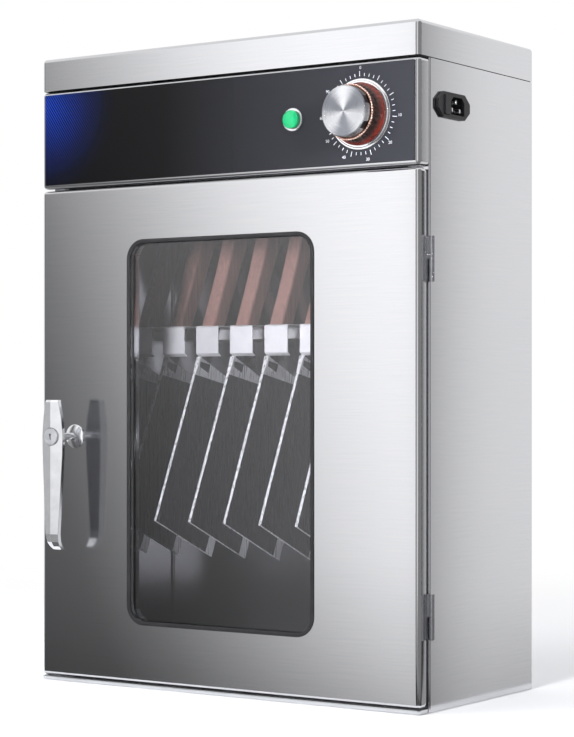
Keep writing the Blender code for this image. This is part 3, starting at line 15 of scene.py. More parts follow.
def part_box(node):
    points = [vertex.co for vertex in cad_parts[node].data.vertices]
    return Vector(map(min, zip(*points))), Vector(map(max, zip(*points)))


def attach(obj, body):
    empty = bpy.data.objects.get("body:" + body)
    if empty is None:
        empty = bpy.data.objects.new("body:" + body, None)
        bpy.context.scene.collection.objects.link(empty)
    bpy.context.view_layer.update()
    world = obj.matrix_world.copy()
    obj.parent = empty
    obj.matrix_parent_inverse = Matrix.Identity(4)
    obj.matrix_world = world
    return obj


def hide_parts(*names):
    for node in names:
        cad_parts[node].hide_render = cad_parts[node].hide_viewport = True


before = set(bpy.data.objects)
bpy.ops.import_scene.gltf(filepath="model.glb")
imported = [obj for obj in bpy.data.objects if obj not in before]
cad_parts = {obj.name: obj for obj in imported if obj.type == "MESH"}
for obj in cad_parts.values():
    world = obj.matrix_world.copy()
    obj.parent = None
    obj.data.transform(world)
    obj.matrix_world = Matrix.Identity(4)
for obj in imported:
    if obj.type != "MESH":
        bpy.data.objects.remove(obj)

LOG = logging.getLogger("cabinet")
GRAIN_MAP = "grain"
HIGHLIGHT_MAP = "ground"
UP = Vector((0, 0, 1))
FULL_TURN = 2 * math.pi
TINY = 1e-6
MERGE = 1e-5
SMOOTH_ANGLE = math.radians(32)
SEAT = 0.0003
SHEET = 0.0010
OVERRUN = 0.0020
FLAT_ANGLE = math.radians(0.5)
NEAR_LEVEL = 0.95
# Metres of the grain map for each radian round a lathe's axis
ROUND_SPAN = 0.02

Point = tuple[float, float]
Spot = tuple[float, float, float]
Profile = Sequence[Point]


class Body(Enum):
    """Moving bodies of the frame that a piece can ride on."""

    CABINET = "cabinet"
    DOOR = "door"
    HANDLE = "handle"
    LOCK = "lock"
    KNOB = "timer_knob"
    FUSE_TRAY = "fuse_tray"


class Grain(Enum):
    """Which way the marks of a brush or a lathe run over a piece."""

    LEVEL = "level"
    UPRIGHT = "upright"
    ROUND = "round"


class Plane(Enum):
    """Plane that a flat outline is drawn in before it is raised."""

    PLAN = "plan"
    FRONT = "front"
    SIDE = "side"

    def spot(self, across: float, up: float, out: float) -> Spot:
        """Place of a point of the outline at a level."""
        spots = {Plane.PLAN: (across, up, out), Plane.FRONT: (across, out, up), Plane.SIDE: (out, across, up)}
        return spots[self]


# Node helpers


def linear(code: str) -> tuple[float, float, float, float]:
    """Turns an sRGB hex colour to linear RGBA."""
    values = [int(code[i : i + 2], 16) / 255 for i in (0, 2, 4)]
    parts = [value / 12.92 if value <= 0.04045 else ((value + 0.055) / 1.055) ** 2.4 for value in values]
    return (*parts, 1.0)


def add_node(
    tree: bpy.types.NodeTree, kind: str, inputs: dict[str | int, object] | None = None, **settings: object
) -> bpy.types.Node:
    """Adds a node with its settings, values and links.

    Args:
        tree: Tree that gets the node.
        kind: Blender's name for the node's type.
        inputs: Value, or output socket to link, for each input by name or number.
        settings: Properties of the node.

    Returns:
        The node.
    """
    made = tree.nodes.new(kind)
    for name, value in settings.items():
        setattr(made, name, value)
    for key, value in (inputs or {}).items():
        if isinstance(value, bpy.types.NodeSocket):
            tree.links.new(value, made.inputs[key])
        else:
            made.inputs[key].default_value = value
    return made


def colour_ramp(
    tree: bpy.types.NodeTree, factor: bpy.types.NodeSocket, stops: Sequence[tuple[float, tuple[float, ...]]]
) -> bpy.types.NodeSocket:
    """Reads a colour off a ramp.

    Args:
        tree: Tree that gets the ramp.
        factor: Socket that the ramp is read by.
        stops: Position and linear colour of each stop.

    Returns:
        The colour socket.
    """
    made = add_node(tree, "ShaderNodeValToRGB", {"Fac": factor})
    points = made.color_ramp.elements
    while len(points) < len(stops):
        points.new(1.0)
    for point, (position, colour) in zip(points, stops):
        point.position = position
        point.color = colour
    return made.outputs["Color"]


# Finishes


@dataclass(frozen=True)
class Finish:
    """A material of the cabinet, whose node tree is built once."""

    slot: str
    name: str

    def material(self) -> bpy.types.Material:
        """Gives the material, and builds it on first use.

        Returns:
            The material.
        """
        found = bpy.data.materials.get(self.name)
        if found:
            return found
        made = bpy.data.materials.new(self.name)
        made.use_nodes = True
        made.node_tree.nodes.clear()
        shader = self.surface(made.node_tree)
        add_node(made.node_tree, "ShaderNodeOutputMaterial", {"Surface": shader})
        return made

    def surface(self, tree: bpy.types.NodeTree) -> bpy.types.NodeSocket:
        """Builds the shader and gives its output."""
        raise NotImplementedError


@dataclass(frozen=True)
class BrushedSheet(Finish):
    """Belt-brushed 304 stainless sheet. Fine scratches along the brushing smear reflections across it, so edges of
    dark and light stand sharp one way and melt away the other."""

    slot: str = "brushed_steel"
    name: str = "brushed stainless sheet"
    light: str = "d4d4d7"
    dark: str = "cfd0d3"
    roughness: float = 0.13
    roughness_spread: float = 0.02
    anisotropy: float = 0.60
    # A belt leaves scratches about 0.1 mm wide, drawn near 0.9 mm wide because a pixel covers 1 mm
    scratch_width: float = 0.0009
    scratch_length: float = 0.060
    relief: float = 0.02

    def surface(self, tree: bpy.types.NodeTree) -> bpy.types.NodeSocket:
        """Builds the shader and gives its output."""
        place = add_node(tree, "ShaderNodeUVMap", uv_map=GRAIN_MAP)
        scale = (1 / self.scratch_length, 1 / self.scratch_width, 1)
        stretched = add_node(tree, "ShaderNodeMapping", {"Vector": place.outputs["UV"], "Scale": scale})
        scratches = add_node(
            tree,
            "ShaderNodeTexNoise",
            {"Vector": stretched.outputs["Vector"], "Scale": 1.0, "Detail": 3.0, "Roughness": 0.65},
            noise_dimensions="2D",
        )
        shade = colour_ramp(tree, scratches.outputs["Fac"], [(0.3, linear(self.dark)), (0.7, linear(self.light))])
        low, high = self.roughness - self.roughness_spread, self.roughness + self.roughness_spread
        rough = add_node(
            tree, "ShaderNodeMapRange", {"Value": scratches.outputs["Fac"], "To Min": low, "To Max": high}
        )
        bump = add_node(
            tree,
            "ShaderNodeBump",
            {"Height": scratches.outputs["Fac"], "Strength": self.relief, "Distance": 0.0002},
        )
        along = add_node(tree, "ShaderNodeTangent", direction_type="UV_MAP", uv_map=GRAIN_MAP)
        shader = add_node(
            tree,
            "ShaderNodeBsdfPrincipled",
            {
                "Base Color": shade,
                "Metallic": 1.0,
                "Roughness": rough.outputs["Result"],
                "Anisotropic": self.anisotropy,
                "Anisotropic Rotation": 0.25,
                "Normal": bump.outputs["Normal"],
                "Tangent": along.outputs["Tangent"],
            },
        )
        return shader.outputs["BSDF"]


@dataclass(frozen=True)
class PlainMetal(Finish):
    """A metal without brush lines: rolled sheet, plating or blackened steel. Faint clouds in colour and roughness
    keep large faces from looking printed."""

    slot: str = "inner_steel"
    name: str = "cold rolled stainless sheet"
    light: str = "d2d3d6"
    dark: str = "cacbce"
    roughness: float = 0.14
    roughness_spread: float = 0.02
    cloud_size: float = 0.030
    relief: float = 0.01
    stretch: Spot = (1.0, 1.0, 1.0)
    metallic: float = 0.97

    def surface(self, tree: bpy.types.NodeTree) -> bpy.types.NodeSocket:
        """Builds the shader and gives its output."""
        place = add_node(tree, "ShaderNodeTexCoord")
        stretched = add_node(tree, "ShaderNodeMapping", {"Vector": place.outputs["Object"], "Scale": self.stretch})
        clouds = add_node(
            tree,
            "ShaderNodeTexNoise",
            {"Vector": stretched.outputs["Vector"], "Scale": 1 / self.cloud_size, "Detail": 4.0, "Roughness": 0.6},
        )
        shade = colour_ramp(tree, clouds.outputs["Fac"], [(0.3, linear(self.dark)), (0.7, linear(self.light))])
        low, high = self.roughness - self.roughness_spread, self.roughness + self.roughness_spread
        rough = add_node(tree, "ShaderNodeMapRange", {"Value": clouds.outputs["Fac"], "To Min": low, "To Max": high})
        bump = add_node(
            tree, "ShaderNodeBump", {"Height": clouds.outputs["Fac"], "Strength": self.relief, "Distance": 0.0003}
        )
        shader = add_node(
            tree,
            "ShaderNodeBsdfPrincipled",
            {
                "Base Color": shade,
                "Metallic": self.metallic,
                "Roughness": rough.outputs["Result"],
                "Normal": bump.outputs["Normal"],
            },
        )
        return shader.outputs["BSDF"]


@dataclass(frozen=True)
class SpunAluminium(Finish):
    """Aluminium faced on a lathe. Its rings stretch each highlight to a wedge from the centre to the rim, and the base
    colour is painted lighter in three wedges round the axis: painted highlights of those wedges."""

    slot: str = "spun_aluminium"
    name: str = "spun aluminium"
    light: str = "c0c1c5"
    dark: str = "74767d"
    roughness: float = 0.24
    anisotropy: float = 0.9
    metallic: float = 0.86
    centre: Spot = (0.162, 0.0, 0.5515)
    # Painted highlight: the number of lighter wedges round the axis, and the angle of the first
    highlight_lobes: float = 3.0
    first_highlight_lobe: float = math.radians(92)
    # Tool marks of a facing cut are about 0.1 mm apart, drawn at 0.5 mm
    ring_pitch: float = 0.0005

    def surface(self, tree: bpy.types.NodeTree) -> bpy.types.NodeSocket:
        """Builds the shader and gives its output."""
        place = add_node(tree, "ShaderNodeUVMap", uv_map=GRAIN_MAP)
        stretched = add_node(
            tree, "ShaderNodeMapping", {"Vector": place.outputs["UV"], "Scale": (40, 1 / self.ring_pitch, 1)}
        )
        rings = add_node(
            tree,
            "ShaderNodeTexNoise",
            {"Vector": stretched.outputs["Vector"], "Scale": 1.0, "Detail": 2.0},
            noise_dimensions="2D",
        )
        here = add_node(tree, "ShaderNodeTexCoord")
        arm = add_node(
            tree,
            "ShaderNodeVectorMath",
            {0: here.outputs["Object"], 1: self.centre},
            operation="SUBTRACT",
        )
        parts = add_node(tree, "ShaderNodeSeparateXYZ", {"Vector": arm.outputs["Vector"]})
        heading = add_node(
            tree, "ShaderNodeMath", {0: parts.outputs["Z"], 1: parts.outputs["X"]}, operation="ARCTAN2"
        )
        turned = add_node(
            tree,
            "ShaderNodeMath",
            {0: heading.outputs["Value"], 1: self.highlight_lobes, 2: -self.highlight_lobes * self.first_highlight_lobe},
            operation="MULTIPLY_ADD",
        )
        # Painted highlight: the colour rises to light in each wedge and falls to dark between them
        painted_wedges = add_node(tree, "ShaderNodeMath", {0: turned.outputs["Value"]}, operation="COSINE")
        blend = add_node(
            tree,
            "ShaderNodeMath",
            {0: painted_wedges.outputs["Value"], 1: 0.5, 2: rings.outputs["Fac"]},
            operation="MULTIPLY_ADD",
        )
        shade = colour_ramp(tree, blend.outputs["Value"], [(0.10, linear(self.dark)), (0.95, linear(self.light))])
        rough = add_node(
            tree,
            "ShaderNodeMapRange",
            {"Value": rings.outputs["Fac"], "To Min": self.roughness - 0.04, "To Max": self.roughness + 0.04},
        )
        along = add_node(tree, "ShaderNodeTangent", direction_type="UV_MAP", uv_map=GRAIN_MAP)
        shader = add_node(
            tree,
            "ShaderNodeBsdfPrincipled",
            {
                "Base Color": shade,
                "Metallic": self.metallic,
                "Roughness": rough.outputs["Result"],
                "Anisotropic": self.anisotropy,
                "Anisotropic Rotation": 0.25,
                "Tangent": along.outputs["Tangent"],
            },
        )
        return shader.outputs["BSDF"]


@dataclass(frozen=True)
class Moulded(Finish):
    """Injection-moulded plastic or rubber. A fine spark-eroded grain breaks up its gloss."""

    slot: str = "black_plastic"
    name: str = "moulded black nylon"
    light: str = "101012"
    dark: str = "09090a"
    roughness: float = 0.42
    roughness_spread: float = 0.05
    # Mould grain is near 0.1 mm, drawn coarser so that it still shows on a close view
    grain_size: float = 0.0006
    relief: float = 0.10
    coat: float = 0.0

    def surface(self, tree: bpy.types.NodeTree) -> bpy.types.NodeSocket:
        """Builds the shader and gives its output."""
        place = add_node(tree, "ShaderNodeTexCoord")
        grain = add_node(
            tree,
            "ShaderNodeTexNoise",
            {"Vector": place.outputs["Object"], "Scale": 1 / self.grain_size, "Detail": 2.0},
        )
        clouds = add_node(
            tree,
            "ShaderNodeTexNoise",
            {"Vector": place.outputs["Object"], "Scale": 0.05 / self.grain_size, "Detail": 3.0},
        )
        low, high = self.roughness - self.roughness_spread, self.roughness + self.roughness_spread
        rough = add_node(tree, "ShaderNodeMapRange", {"Value": clouds.outputs["Fac"], "To Min": low, "To Max": high})
        bump = add_node(
            tree, "ShaderNodeBump", {"Height": grain.outputs["Fac"], "Strength": self.relief, "Distance": 0.0001}
        )
        shader = add_node(
            tree,
            "ShaderNodeBsdfPrincipled",
            {
                "Base Color": self.shade(tree, clouds.outputs["Fac"]),
                "Roughness": rough.outputs["Result"],
                "Coat Weight": self.coat,
                "Coat Roughness": 0.08,
                "Normal": bump.outputs["Normal"],
            },
        )
        return shader.outputs["BSDF"]

    def shade(self, tree: bpy.types.NodeTree, clouds: bpy.types.NodeSocket) -> bpy.types.NodeSocket:
        """Gives the colour from the clouds of the melt."""
        return colour_ramp(tree, clouds, [(0.3, linear(self.dark)), (0.7, linear(self.light))])


@dataclass(frozen=True)
class FlutedPhenolic(Moulded):
    """Brown phenolic pressed in a fluted mould. Its polished flare shows red-brown, and towards the fluted waist the
    colour is painted almost black: painted shade of the flutes."""

    centre: Spot = (0.162, 0.0, 0.5515)
    # Painted shade: the near-black colour at the fluted waist
    waist_shade: str = "1a0f0c"
    waist: float = 0.0254
    flare: float = 0.0280

    def shade(self, tree: bpy.types.NodeTree, clouds: bpy.types.NodeSocket) -> bpy.types.NodeSocket:
        """Paints shade: darkens the colour towards the waist."""
        plain = super().shade(tree, clouds)
        place = add_node(tree, "ShaderNodeTexCoord")
        arm = add_node(
            tree, "ShaderNodeVectorMath", {0: place.outputs["Object"], 1: self.centre}, operation="SUBTRACT"
        )
        flat = add_node(
            tree, "ShaderNodeVectorMath", {0: arm.outputs["Vector"], 1: (1, 0, 1)}, operation="MULTIPLY"
        )
        radius = add_node(tree, "ShaderNodeVectorMath", {0: flat.outputs["Vector"]}, operation="LENGTH")
        share = add_node(
            tree,
            "ShaderNodeMapRange",
            {"Value": radius.outputs["Value"], "From Min": self.waist, "From Max": self.flare},
        )
        mixed = add_node(
            tree,
            "ShaderNodeMix",
            {"Factor": share.outputs["Result"], 6: linear(self.waist_shade), 7: plain},
            data_type="RGBA",
        )
        return mixed.outputs[2]


@dataclass(frozen=True)
class PanelFilm(Finish):
    """Reverse-printed polyester film: a deep charcoal that lifts towards the knob, with a blue glow at the left end
    ruled with fine slanting lines. The film's own gloss lies over the print."""

    slot: str = "panel_black"
    name: str = "printed polyester film"
    left_tone: str = "030304"
    middle_tone: str = "030304"
    right_tone: str = "222328"
    glow: str = "12369a"
    glow_deep: str = "03071c"
    left_edge: float = -0.2213
    length: float = 0.4426
    roughness: float = 0.14
    glow_level: float = 0.5880
    glow_reach: float = 0.100
    line_pitch: float = 0.0024

    def surface(self, tree: bpy.types.NodeTree) -> bpy.types.NodeSocket:
        """Builds the shader and gives its output."""
        place = add_node(tree, "ShaderNodeTexCoord")
        parts = add_node(tree, "ShaderNodeSeparateXYZ", {"Vector": place.outputs["Object"]})
        across = add_node(
            tree,
            "ShaderNodeMapRange",
            {"Value": parts.outputs["X"], "From Min": self.left_edge, "From Max": self.left_edge + self.length},
        )
        tone = colour_ramp(
            tree,
            across.outputs["Result"],
            [(0.0, linear(self.left_tone)), (0.35, linear(self.middle_tone)), (1.0, linear(self.right_tone))],
        )
        corner = add_node(
            tree,
            "ShaderNodeVectorMath",
            {0: place.outputs["Object"], 1: (self.left_edge, -0.1108, self.glow_level)},
            operation="DISTANCE",
        )
        spread = add_node(
            tree,
            "ShaderNodeMapRange",
            {
                "Value": corner.outputs["Value"],
                "From Min": 0.0,
                "From Max": self.glow_reach,
                "To Min": 1.0,
                "To Max": 0.0,
            },
        )
        fading = add_node(tree, "ShaderNodeMath", {0: spread.outputs["Result"], 1: 2.2}, operation="POWER")
        slant = add_node(
            tree, "ShaderNodeMapping", {"Vector": place.outputs["Object"], "Rotation": (0, math.radians(35), 0)}
        )
        lines = add_node(
            tree,
            "ShaderNodeTexWave",
            {"Vector": slant.outputs["Vector"], "Scale": FULL_TURN / 20 / self.line_pitch},
            wave_type="BANDS",
            bands_direction="X",
        )
        ruled = colour_ramp(tree, lines.outputs["Fac"], [(0.55, linear(self.glow_deep)), (0.95, linear(self.glow))])
        print_layer = add_node(
            tree,
            "ShaderNodeMix",
            {"Factor": fading.outputs["Value"], 6: tone, 7: ruled},
            data_type="RGBA",
        )
        mottle = add_node(
            tree, "ShaderNodeTexNoise", {"Vector": place.outputs["Object"], "Scale": 900.0, "Detail": 2.0}
        )
        rough = add_node(
            tree,
            "ShaderNodeMapRange",
            {"Value": mottle.outputs["Fac"], "To Min": self.roughness - 0.03, "To Max": self.roughness + 0.03},
        )
        shader = add_node(
            tree,
            "ShaderNodeBsdfPrincipled",
            {"Base Color": print_layer.outputs[2], "Roughness": rough.outputs["Result"], "IOR": 1.28},
        )
        return shader.outputs["BSDF"]


@dataclass(frozen=True)
class ForgedBlade(Finish):
    """Forged carbon steel with faint streaks on its flats. The flats are painted dark grey, a painted shade, and the
    spine, bolster and bevels near white, a painted highlight.
    """

    slot: str = "blade_steel"
    name: str = "forged blade steel"
    # Painted highlight: near white on the spine, bolster and bevels
    ground: str = "f0f1f3"
    # Painted shade: dark grey on the flats
    flat: str = "434448"
    flat_streak: str = "48494d"
    roughness: float = 0.28
    metallic: float = 0.60
    # Roll marks of about 0.3 mm, drawn at 1.2 mm
    streak_width: float = 0.0012
    streak_length: float = 0.030

    def surface(self, tree: bpy.types.NodeTree) -> bpy.types.NodeSocket:
        """Builds the shader and gives its output."""
        place = add_node(tree, "ShaderNodeTexCoord")
        scale = (1 / self.streak_width, 1 / self.streak_width, 1 / self.streak_length)
        stretched = add_node(tree, "ShaderNodeMapping", {"Vector": place.outputs["Object"], "Scale": scale})
        streaks = add_node(
            tree, "ShaderNodeTexNoise", {"Vector": stretched.outputs["Vector"], "Scale": 0.6, "Detail": 3.0}
        )
        shaded_flats = colour_ramp(
            tree, streaks.outputs["Fac"], [(0.35, linear(self.flat)), (0.65, linear(self.flat_streak))]
        )
        highlight_faces = add_node(tree, "ShaderNodeAttribute", attribute_name=HIGHLIGHT_MAP)
        shade = add_node(
            tree,
            "ShaderNodeMix",
            {"Factor": highlight_faces.outputs["Fac"], 6: shaded_flats, 7: linear(self.ground)},
            data_type="RGBA",
        )
        rough = add_node(
            tree,
            "ShaderNodeMapRange",
            {"Value": streaks.outputs["Fac"], "To Min": self.roughness - 0.05, "To Max": self.roughness + 0.05},
        )
        shader = add_node(
            tree,
            "ShaderNodeBsdfPrincipled",
            {"Base Color": shade.outputs[2], "Metallic": self.metallic, "Roughness": rough.outputs["Result"]},
        )
        return shader.outputs["BSDF"]


@dataclass(frozen=True)
class LampLens(Finish):
    """Lit green polycarbonate lens, moulded with a fine prism pattern that scatters the neon behind it."""

    slot: str = "green_lens"
    name: str = "green polycarbonate lens"
    light: str = "068251"
    dark: str = "046a40"
    glow: float = 0.03

    def surface(self, tree: bpy.types.NodeTree) -> bpy.types.NodeSocket:
        """Builds the shader and gives its output."""
        place = add_node(tree, "ShaderNodeTexCoord")
        prisms = add_node(
            tree,
            "ShaderNodeTexVoronoi",
            {"Vector": place.outputs["Object"], "Scale": 900.0, "Randomness": 0.25},
        )
        shade = colour_ramp(tree, prisms.outputs["Distance"], [(0.0, linear(self.light)), (0.9, linear(self.dark))])
        bump = add_node(
            tree, "ShaderNodeBump", {"Height": prisms.outputs["Distance"], "Strength": 0.15, "Distance": 0.0002}
        )
        shader = add_node(
            tree,
            "ShaderNodeBsdfPrincipled",
            {
                "Base Color": shade,
                "Roughness": 0.22,
                "IOR": 1.58,
                "Emission Color": shade,
                "Emission Strength": self.glow,
                "Normal": bump.outputs["Normal"],
            },
        )
        return shader.outputs["BSDF"]


@dataclass(frozen=True)
class ClearGlass(Finish):
    """Clear float or quartz glass: see-through face on, with reflections that grow towards a grazing view."""

    slot: str = "clear_glass"
    name: str = "float glass"
    tint: str = "f9f9fb"
    sheen: float = 1.52
    roughness: float = 0.02

    def surface(self, tree: bpy.types.NodeTree) -> bpy.types.NodeSocket:
        """Builds the shader and gives its output."""
        place = add_node(tree, "ShaderNodeTexCoord")
        smears = add_node(
            tree, "ShaderNodeTexNoise", {"Vector": place.outputs["Object"], "Scale": 14.0, "Detail": 4.0}
        )
        rough = add_node(
            tree,
            "ShaderNodeMapRange",
            {"Value": smears.outputs["Fac"], "To Min": self.roughness, "To Max": self.roughness + 0.03},
        )
        edge = add_node(tree, "ShaderNodeFresnel", {"IOR": self.sheen})
        through = add_node(tree, "ShaderNodeBsdfTransparent", {"Color": linear(self.tint)})
        gloss = add_node(tree, "ShaderNodeBsdfGlossy", {"Roughness": rough.outputs["Result"]})
        both = add_node(
            tree,
            "ShaderNodeMixShader",
            {"Fac": edge.outputs["Fac"], 1: through.outputs["BSDF"], 2: gloss.outputs["BSDF"]},
        )
        return both.outputs["Shader"]


@dataclass(frozen=True)
class Hardwood(Finish):
    """Oiled tropical hardwood with fine straight pores along the grip."""

    slot: str = "brown_wood"
    name: str = "oiled rosewood"
    light: str = "8b6a62"
    dark: str = "654d48"
    # Pores about 0.2 mm wide, drawn at 0.9 mm
    pore_width: float = 0.0009
    pore_length: float = 0.035
    lean: float = 0.0

    def surface(self, tree: bpy.types.NodeTree) -> bpy.types.NodeSocket:
        """Builds the shader and gives its output."""
        place = add_node(tree, "ShaderNodeTexCoord")
        upright = add_node(
            tree, "ShaderNodeMapping", {"Vector": place.outputs["Object"], "Rotation": (self.lean, 0, 0)}
        )
        scale = (1 / self.pore_width, 1 / self.pore_width, 1 / self.pore_length)
        stretched = add_node(tree, "ShaderNodeMapping", {"Vector": upright.outputs["Vector"], "Scale": scale})
        pores = add_node(
            tree,
            "ShaderNodeTexNoise",
            {"Vector": stretched.outputs["Vector"], "Scale": 0.6, "Detail": 4.0, "Roughness": 0.6},
        )
        shade = colour_ramp(tree, pores.outputs["Fac"], [(0.35, linear(self.dark)), (0.68, linear(self.light))])
        rough = add_node(tree, "ShaderNodeMapRange", {"Value": pores.outputs["Fac"], "To Min": 0.55, "To Max": 0.38})
        bump = add_node(
            tree, "ShaderNodeBump", {"Height": pores.outputs["Fac"], "Strength": 0.2, "Distance": 0.0003}
        )
        shader = add_node(
            tree,
            "ShaderNodeBsdfPrincipled",
            {"Base Color": shade, "Roughness": rough.outputs["Result"], "Normal": bump.outputs["Normal"]},
        )
        return shader.outputs["BSDF"]


BRUSHED = BrushedSheet()
ROLLED = PlainMetal()
CHROME = PlainMetal("chrome", "bright chrome plate", "e6e7ea", "dcdde1", 0.09, 0.02, 0.012, 0.01)
DARK_STEEL = PlainMetal("dark_steel", "black zinc plate", "77787c", "5e5f64", 0.34, 0.06, 0.006, 0.05)
HINGE_STEEL = PlainMetal("dark_steel", "nickel plated hinge steel", "b4b5b9", "a2a3a8", 0.24, 0.05, 0.006, 0.04)
COPPER = PlainMetal("copper_bead", "copper plated zinc", "f0cfc2", "dbb2a2", 0.16, 0.03, 0.004, 0.03, metallic=0.7)
# Painted shade: the band under and between the beads is copper painted dark
SHADED_BAND_COPPER = PlainMetal("copper_bead", "copper plate painted with shade", "6a4238", "4e2e26", 0.34, 0.04, 0.004, 0.03)
SATIN_CHROME = PlainMetal("chrome", "satin chrome plate", "9c9da1", "919297", 0.30, 0.03, 0.004, 0.02, metallic=0.6)
SATIN = PlainMetal(
    "inner_steel", "bead-blasted stainless sheet", "ececee", "e2e2e5", 0.36, 0.03, 0.010, 0.02, metallic=0.6
)
BLADE = ForgedBlade()
SPUN = SpunAluminium()
PHENOLIC = FlutedPhenolic(
    "red_brown_plastic", "moulded brown phenolic", "4a1007", "360a05", 0.28, 0.05, 0.0006, 0.05, 0.4
)
NYLON = Moulded()
CERAMIC = Moulded("white_plastic", "moulded white polyamide", "d9d9d5", "cdcdc8", 0.45, 0.05, 0.0006, 0.06)
PRINT = Moulded("white_plastic", "white screen print", "b2b3b7", "a2a3a8", 0.50, 0.04, 0.0004, 0.03)
RUBBER = Moulded("black_rubber", "black EPDM rubber", "1a1a1c", "101011", 0.50, 0.06, 0.0008, 0.15)
FILM = PanelFilm()
LENS = LampLens()
GLASS = ClearGlass()
TUBE_GLASS = ClearGlass("lamp_glass", "quartz glass tube", "dfe4ee", 1.9, 0.04)
WOOD = Hardwood()


# Shapes


def arc(centre: Point, radius: float, start: float, end: float, steps: int) -> list[Point]:
    """Gives points along an arc.

    Args:
        centre: Middle of the arc.
        radius: Radius in metres.
        start: First angle in degrees.
        end: Last angle in degrees.
        steps: Number of chords.

    Returns:
        The points, both ends included.
    """
    angles = [math.radians(start + (end - start) * i / steps) for i in range(steps + 1)]
    return [(centre[0] + radius * math.cos(angle), centre[1] + radius * math.sin(angle)) for angle in angles]


def rounded_rectangle(centre: Point, width: float, height: float, radius: float, steps: int) -> list[Point]:
    """Gives a rectangle's outline with rounded corners.

    Args:
        centre: Middle of the rectangle.
        width: Size across.
        height: Size up.
        radius: Radius of each corner.
        steps: Chords in each corner.

    Returns:
        The outline, counter-clockwise.
    """
    across, up = width / 2 - radius, height / 2 - radius
    points: list[Point] = []
    for quarter, (side, level) in enumerate(((1, 1), (-1, 1), (-1, -1), (1, -1))):
        corner = (centre[0] + side * across, centre[1] + level * up)
        points += arc(corner, radius, 90 * quarter, 90 * quarter + 90, steps)
    return points


def face_outwards(shape: bmesh.types.BMesh) -> bmesh.types.BMesh:
    """Turns every face of a closed shape outwards.

    Args:
        shape: Closed mesh.

    Returns:
        The same mesh.
    """
    bmesh.ops.recalc_face_normals(shape, faces=shape.faces)
    if shape.calc_volume(signed=True) < 0:
        bmesh.ops.reverse_faces(shape, faces=shape.faces)
    return shape


def bridge(shape: bmesh.types.BMesh, rows: Sequence[Sequence[bmesh.types.BMVert]], around: bool) -> None:
    """Joins closed rows of points in order.

    Args:
        shape: Mesh that holds the points.
        rows: Rows of one length. A row on an axis holds its one point many times.
        around: Whether the last row joins the first.
    """
    count = len(rows[0])
    after = [*rows[1:], rows[0]] if around else rows[1:]
    for low, high in zip(rows, after):
        for i in range(count):
            j = (i + 1) % count
            corners = list(dict.fromkeys((low[i], low[j], high[j], high[i])))
            if len(corners) > 2:
                shape.faces.new(corners)


def loft(rings: Sequence[Sequence[Spot]], around: bool = False) -> bmesh.types.BMesh:
    """Joins closed rings of points in order.

    Args:
        rings: Rings with the same number of points.
        around: Whether the last ring joins the first. Otherwise both ends are filled.

    Returns:
        A closed mesh that faces outwards.
    """
    shape = bmesh.new()
    rows = [[shape.verts.new(spot) for spot in ring] for ring in rings]
    bridge(shape, rows, around)
    if not around:
        shape.faces.new(rows[0])
        shape.faces.new(rows[-1])
    return face_outwards(shape)


def prism(outline: Profile, low: float, high: float, plane: Plane) -> bmesh.types.BMesh:
    """Raises a flat outline between two levels.

    Args:
        outline: Closed outline in the plane.
        low: First level.
        high: Second level.
        plane: Plane of the outline.

    Returns:
        A closed mesh.
    """
    return loft([[plane.spot(*point, level) for point in outline] for level in (low, high)])


def lathe(profile: Profile, centre: Spot, steps: int, ring: bool = False) -> bmesh.types.BMesh:
    """Turns a profile about an axis that points to the front.

    Args:
        profile: Points as radius and height above the seat, from the axis or round a ring's section.
        centre: Seat of the axis.
        steps: Number of facets round the axis.
        ring: Whether the profile closes on itself.

    Returns:
        A closed mesh.
    """
    shape = bmesh.new()
    rows: list[list[bmesh.types.BMVert]] = []
    for radius, height in profile:
        if radius < TINY:
            rows.append([shape.verts.new((centre[0], centre[1] - height, centre[2]))] * steps)
            continue
        row = []
        for i in range(steps):
            angle = FULL_TURN * i / steps
            spot = (centre[0] + radius * math.cos(angle), centre[1] - height, centre[2] + radius * math.sin(angle))
            row.append(shape.verts.new(spot))
        rows.append(row)
    bridge(shape, rows, ring)
    return face_outwards(shape)


def block(low: Spot, high: Spot) -> bmesh.types.BMesh:
    """Gives a box between two corners.

    Args:
        low: Lowest corner.
        high: Highest corner.

    Returns:
        A closed mesh.
    """
    outline = [(low[0], low[1]), (high[0], low[1]), (high[0], high[1]), (low[0], high[1])]
    return prism(outline, low[2], high[2], Plane.PLAN)


def joined(shapes: Iterable[bmesh.types.BMesh]) -> bmesh.types.BMesh:
    """Puts several meshes into one.

    Args:
        shapes: Meshes, which are used up.

    Returns:
        One mesh that holds them all.
    """
    whole = bmesh.new()
    for shape in shapes:
        part = bpy.data.meshes.new("part")
        shape.to_mesh(part)
        shape.free()
        whole.from_mesh(part)
        bpy.data.meshes.remove(part)
    return whole


def lay_grain(shape: bmesh.types.BMesh, grain: Grain, centre: Spot = (0, 0, 0)) -> bmesh.types.BMesh:
    """Gives a mesh a map whose first axis runs along the marks of the brush or lathe, in metres.

    Args:
        shape: Mesh that gets the map.
        grain: Which way the marks run.
        centre: Axis of round marks.

    Returns:
        The same mesh.
    """
    layer = shape.loops.layers.uv.new(GRAIN_MAP)
    shape.normal_update()
    middle = Vector(centre)
    for face in shape.faces:
        if grain is Grain.ROUND:
            arm = face.calc_center_median() - middle
            facing = math.atan2(arm.z, arm.x)
            for loop in face.loops:
                arm = loop.vert.co - middle
                reach = math.hypot(arm.x, arm.z)
                angle = math.atan2(arm.z, arm.x) if reach > MERGE else facing
                turn = (angle - facing + math.pi) % FULL_TURN - math.pi
                loop[layer].uv = ((facing + turn) * ROUND_SPAN, reach - arm.y)
            continue
        level = UP.cross(face.normal) if abs(face.normal.z) < NEAR_LEVEL else Vector((1, 0, 0))
        level.normalize()
        along = level if grain is Grain.LEVEL else face.normal.cross(level)
        across = face.normal.cross(along)
        for loop in face.loops:
            loop[layer].uv = (loop.vert.co.dot(along), loop.vert.co.dot(across))
    return shape


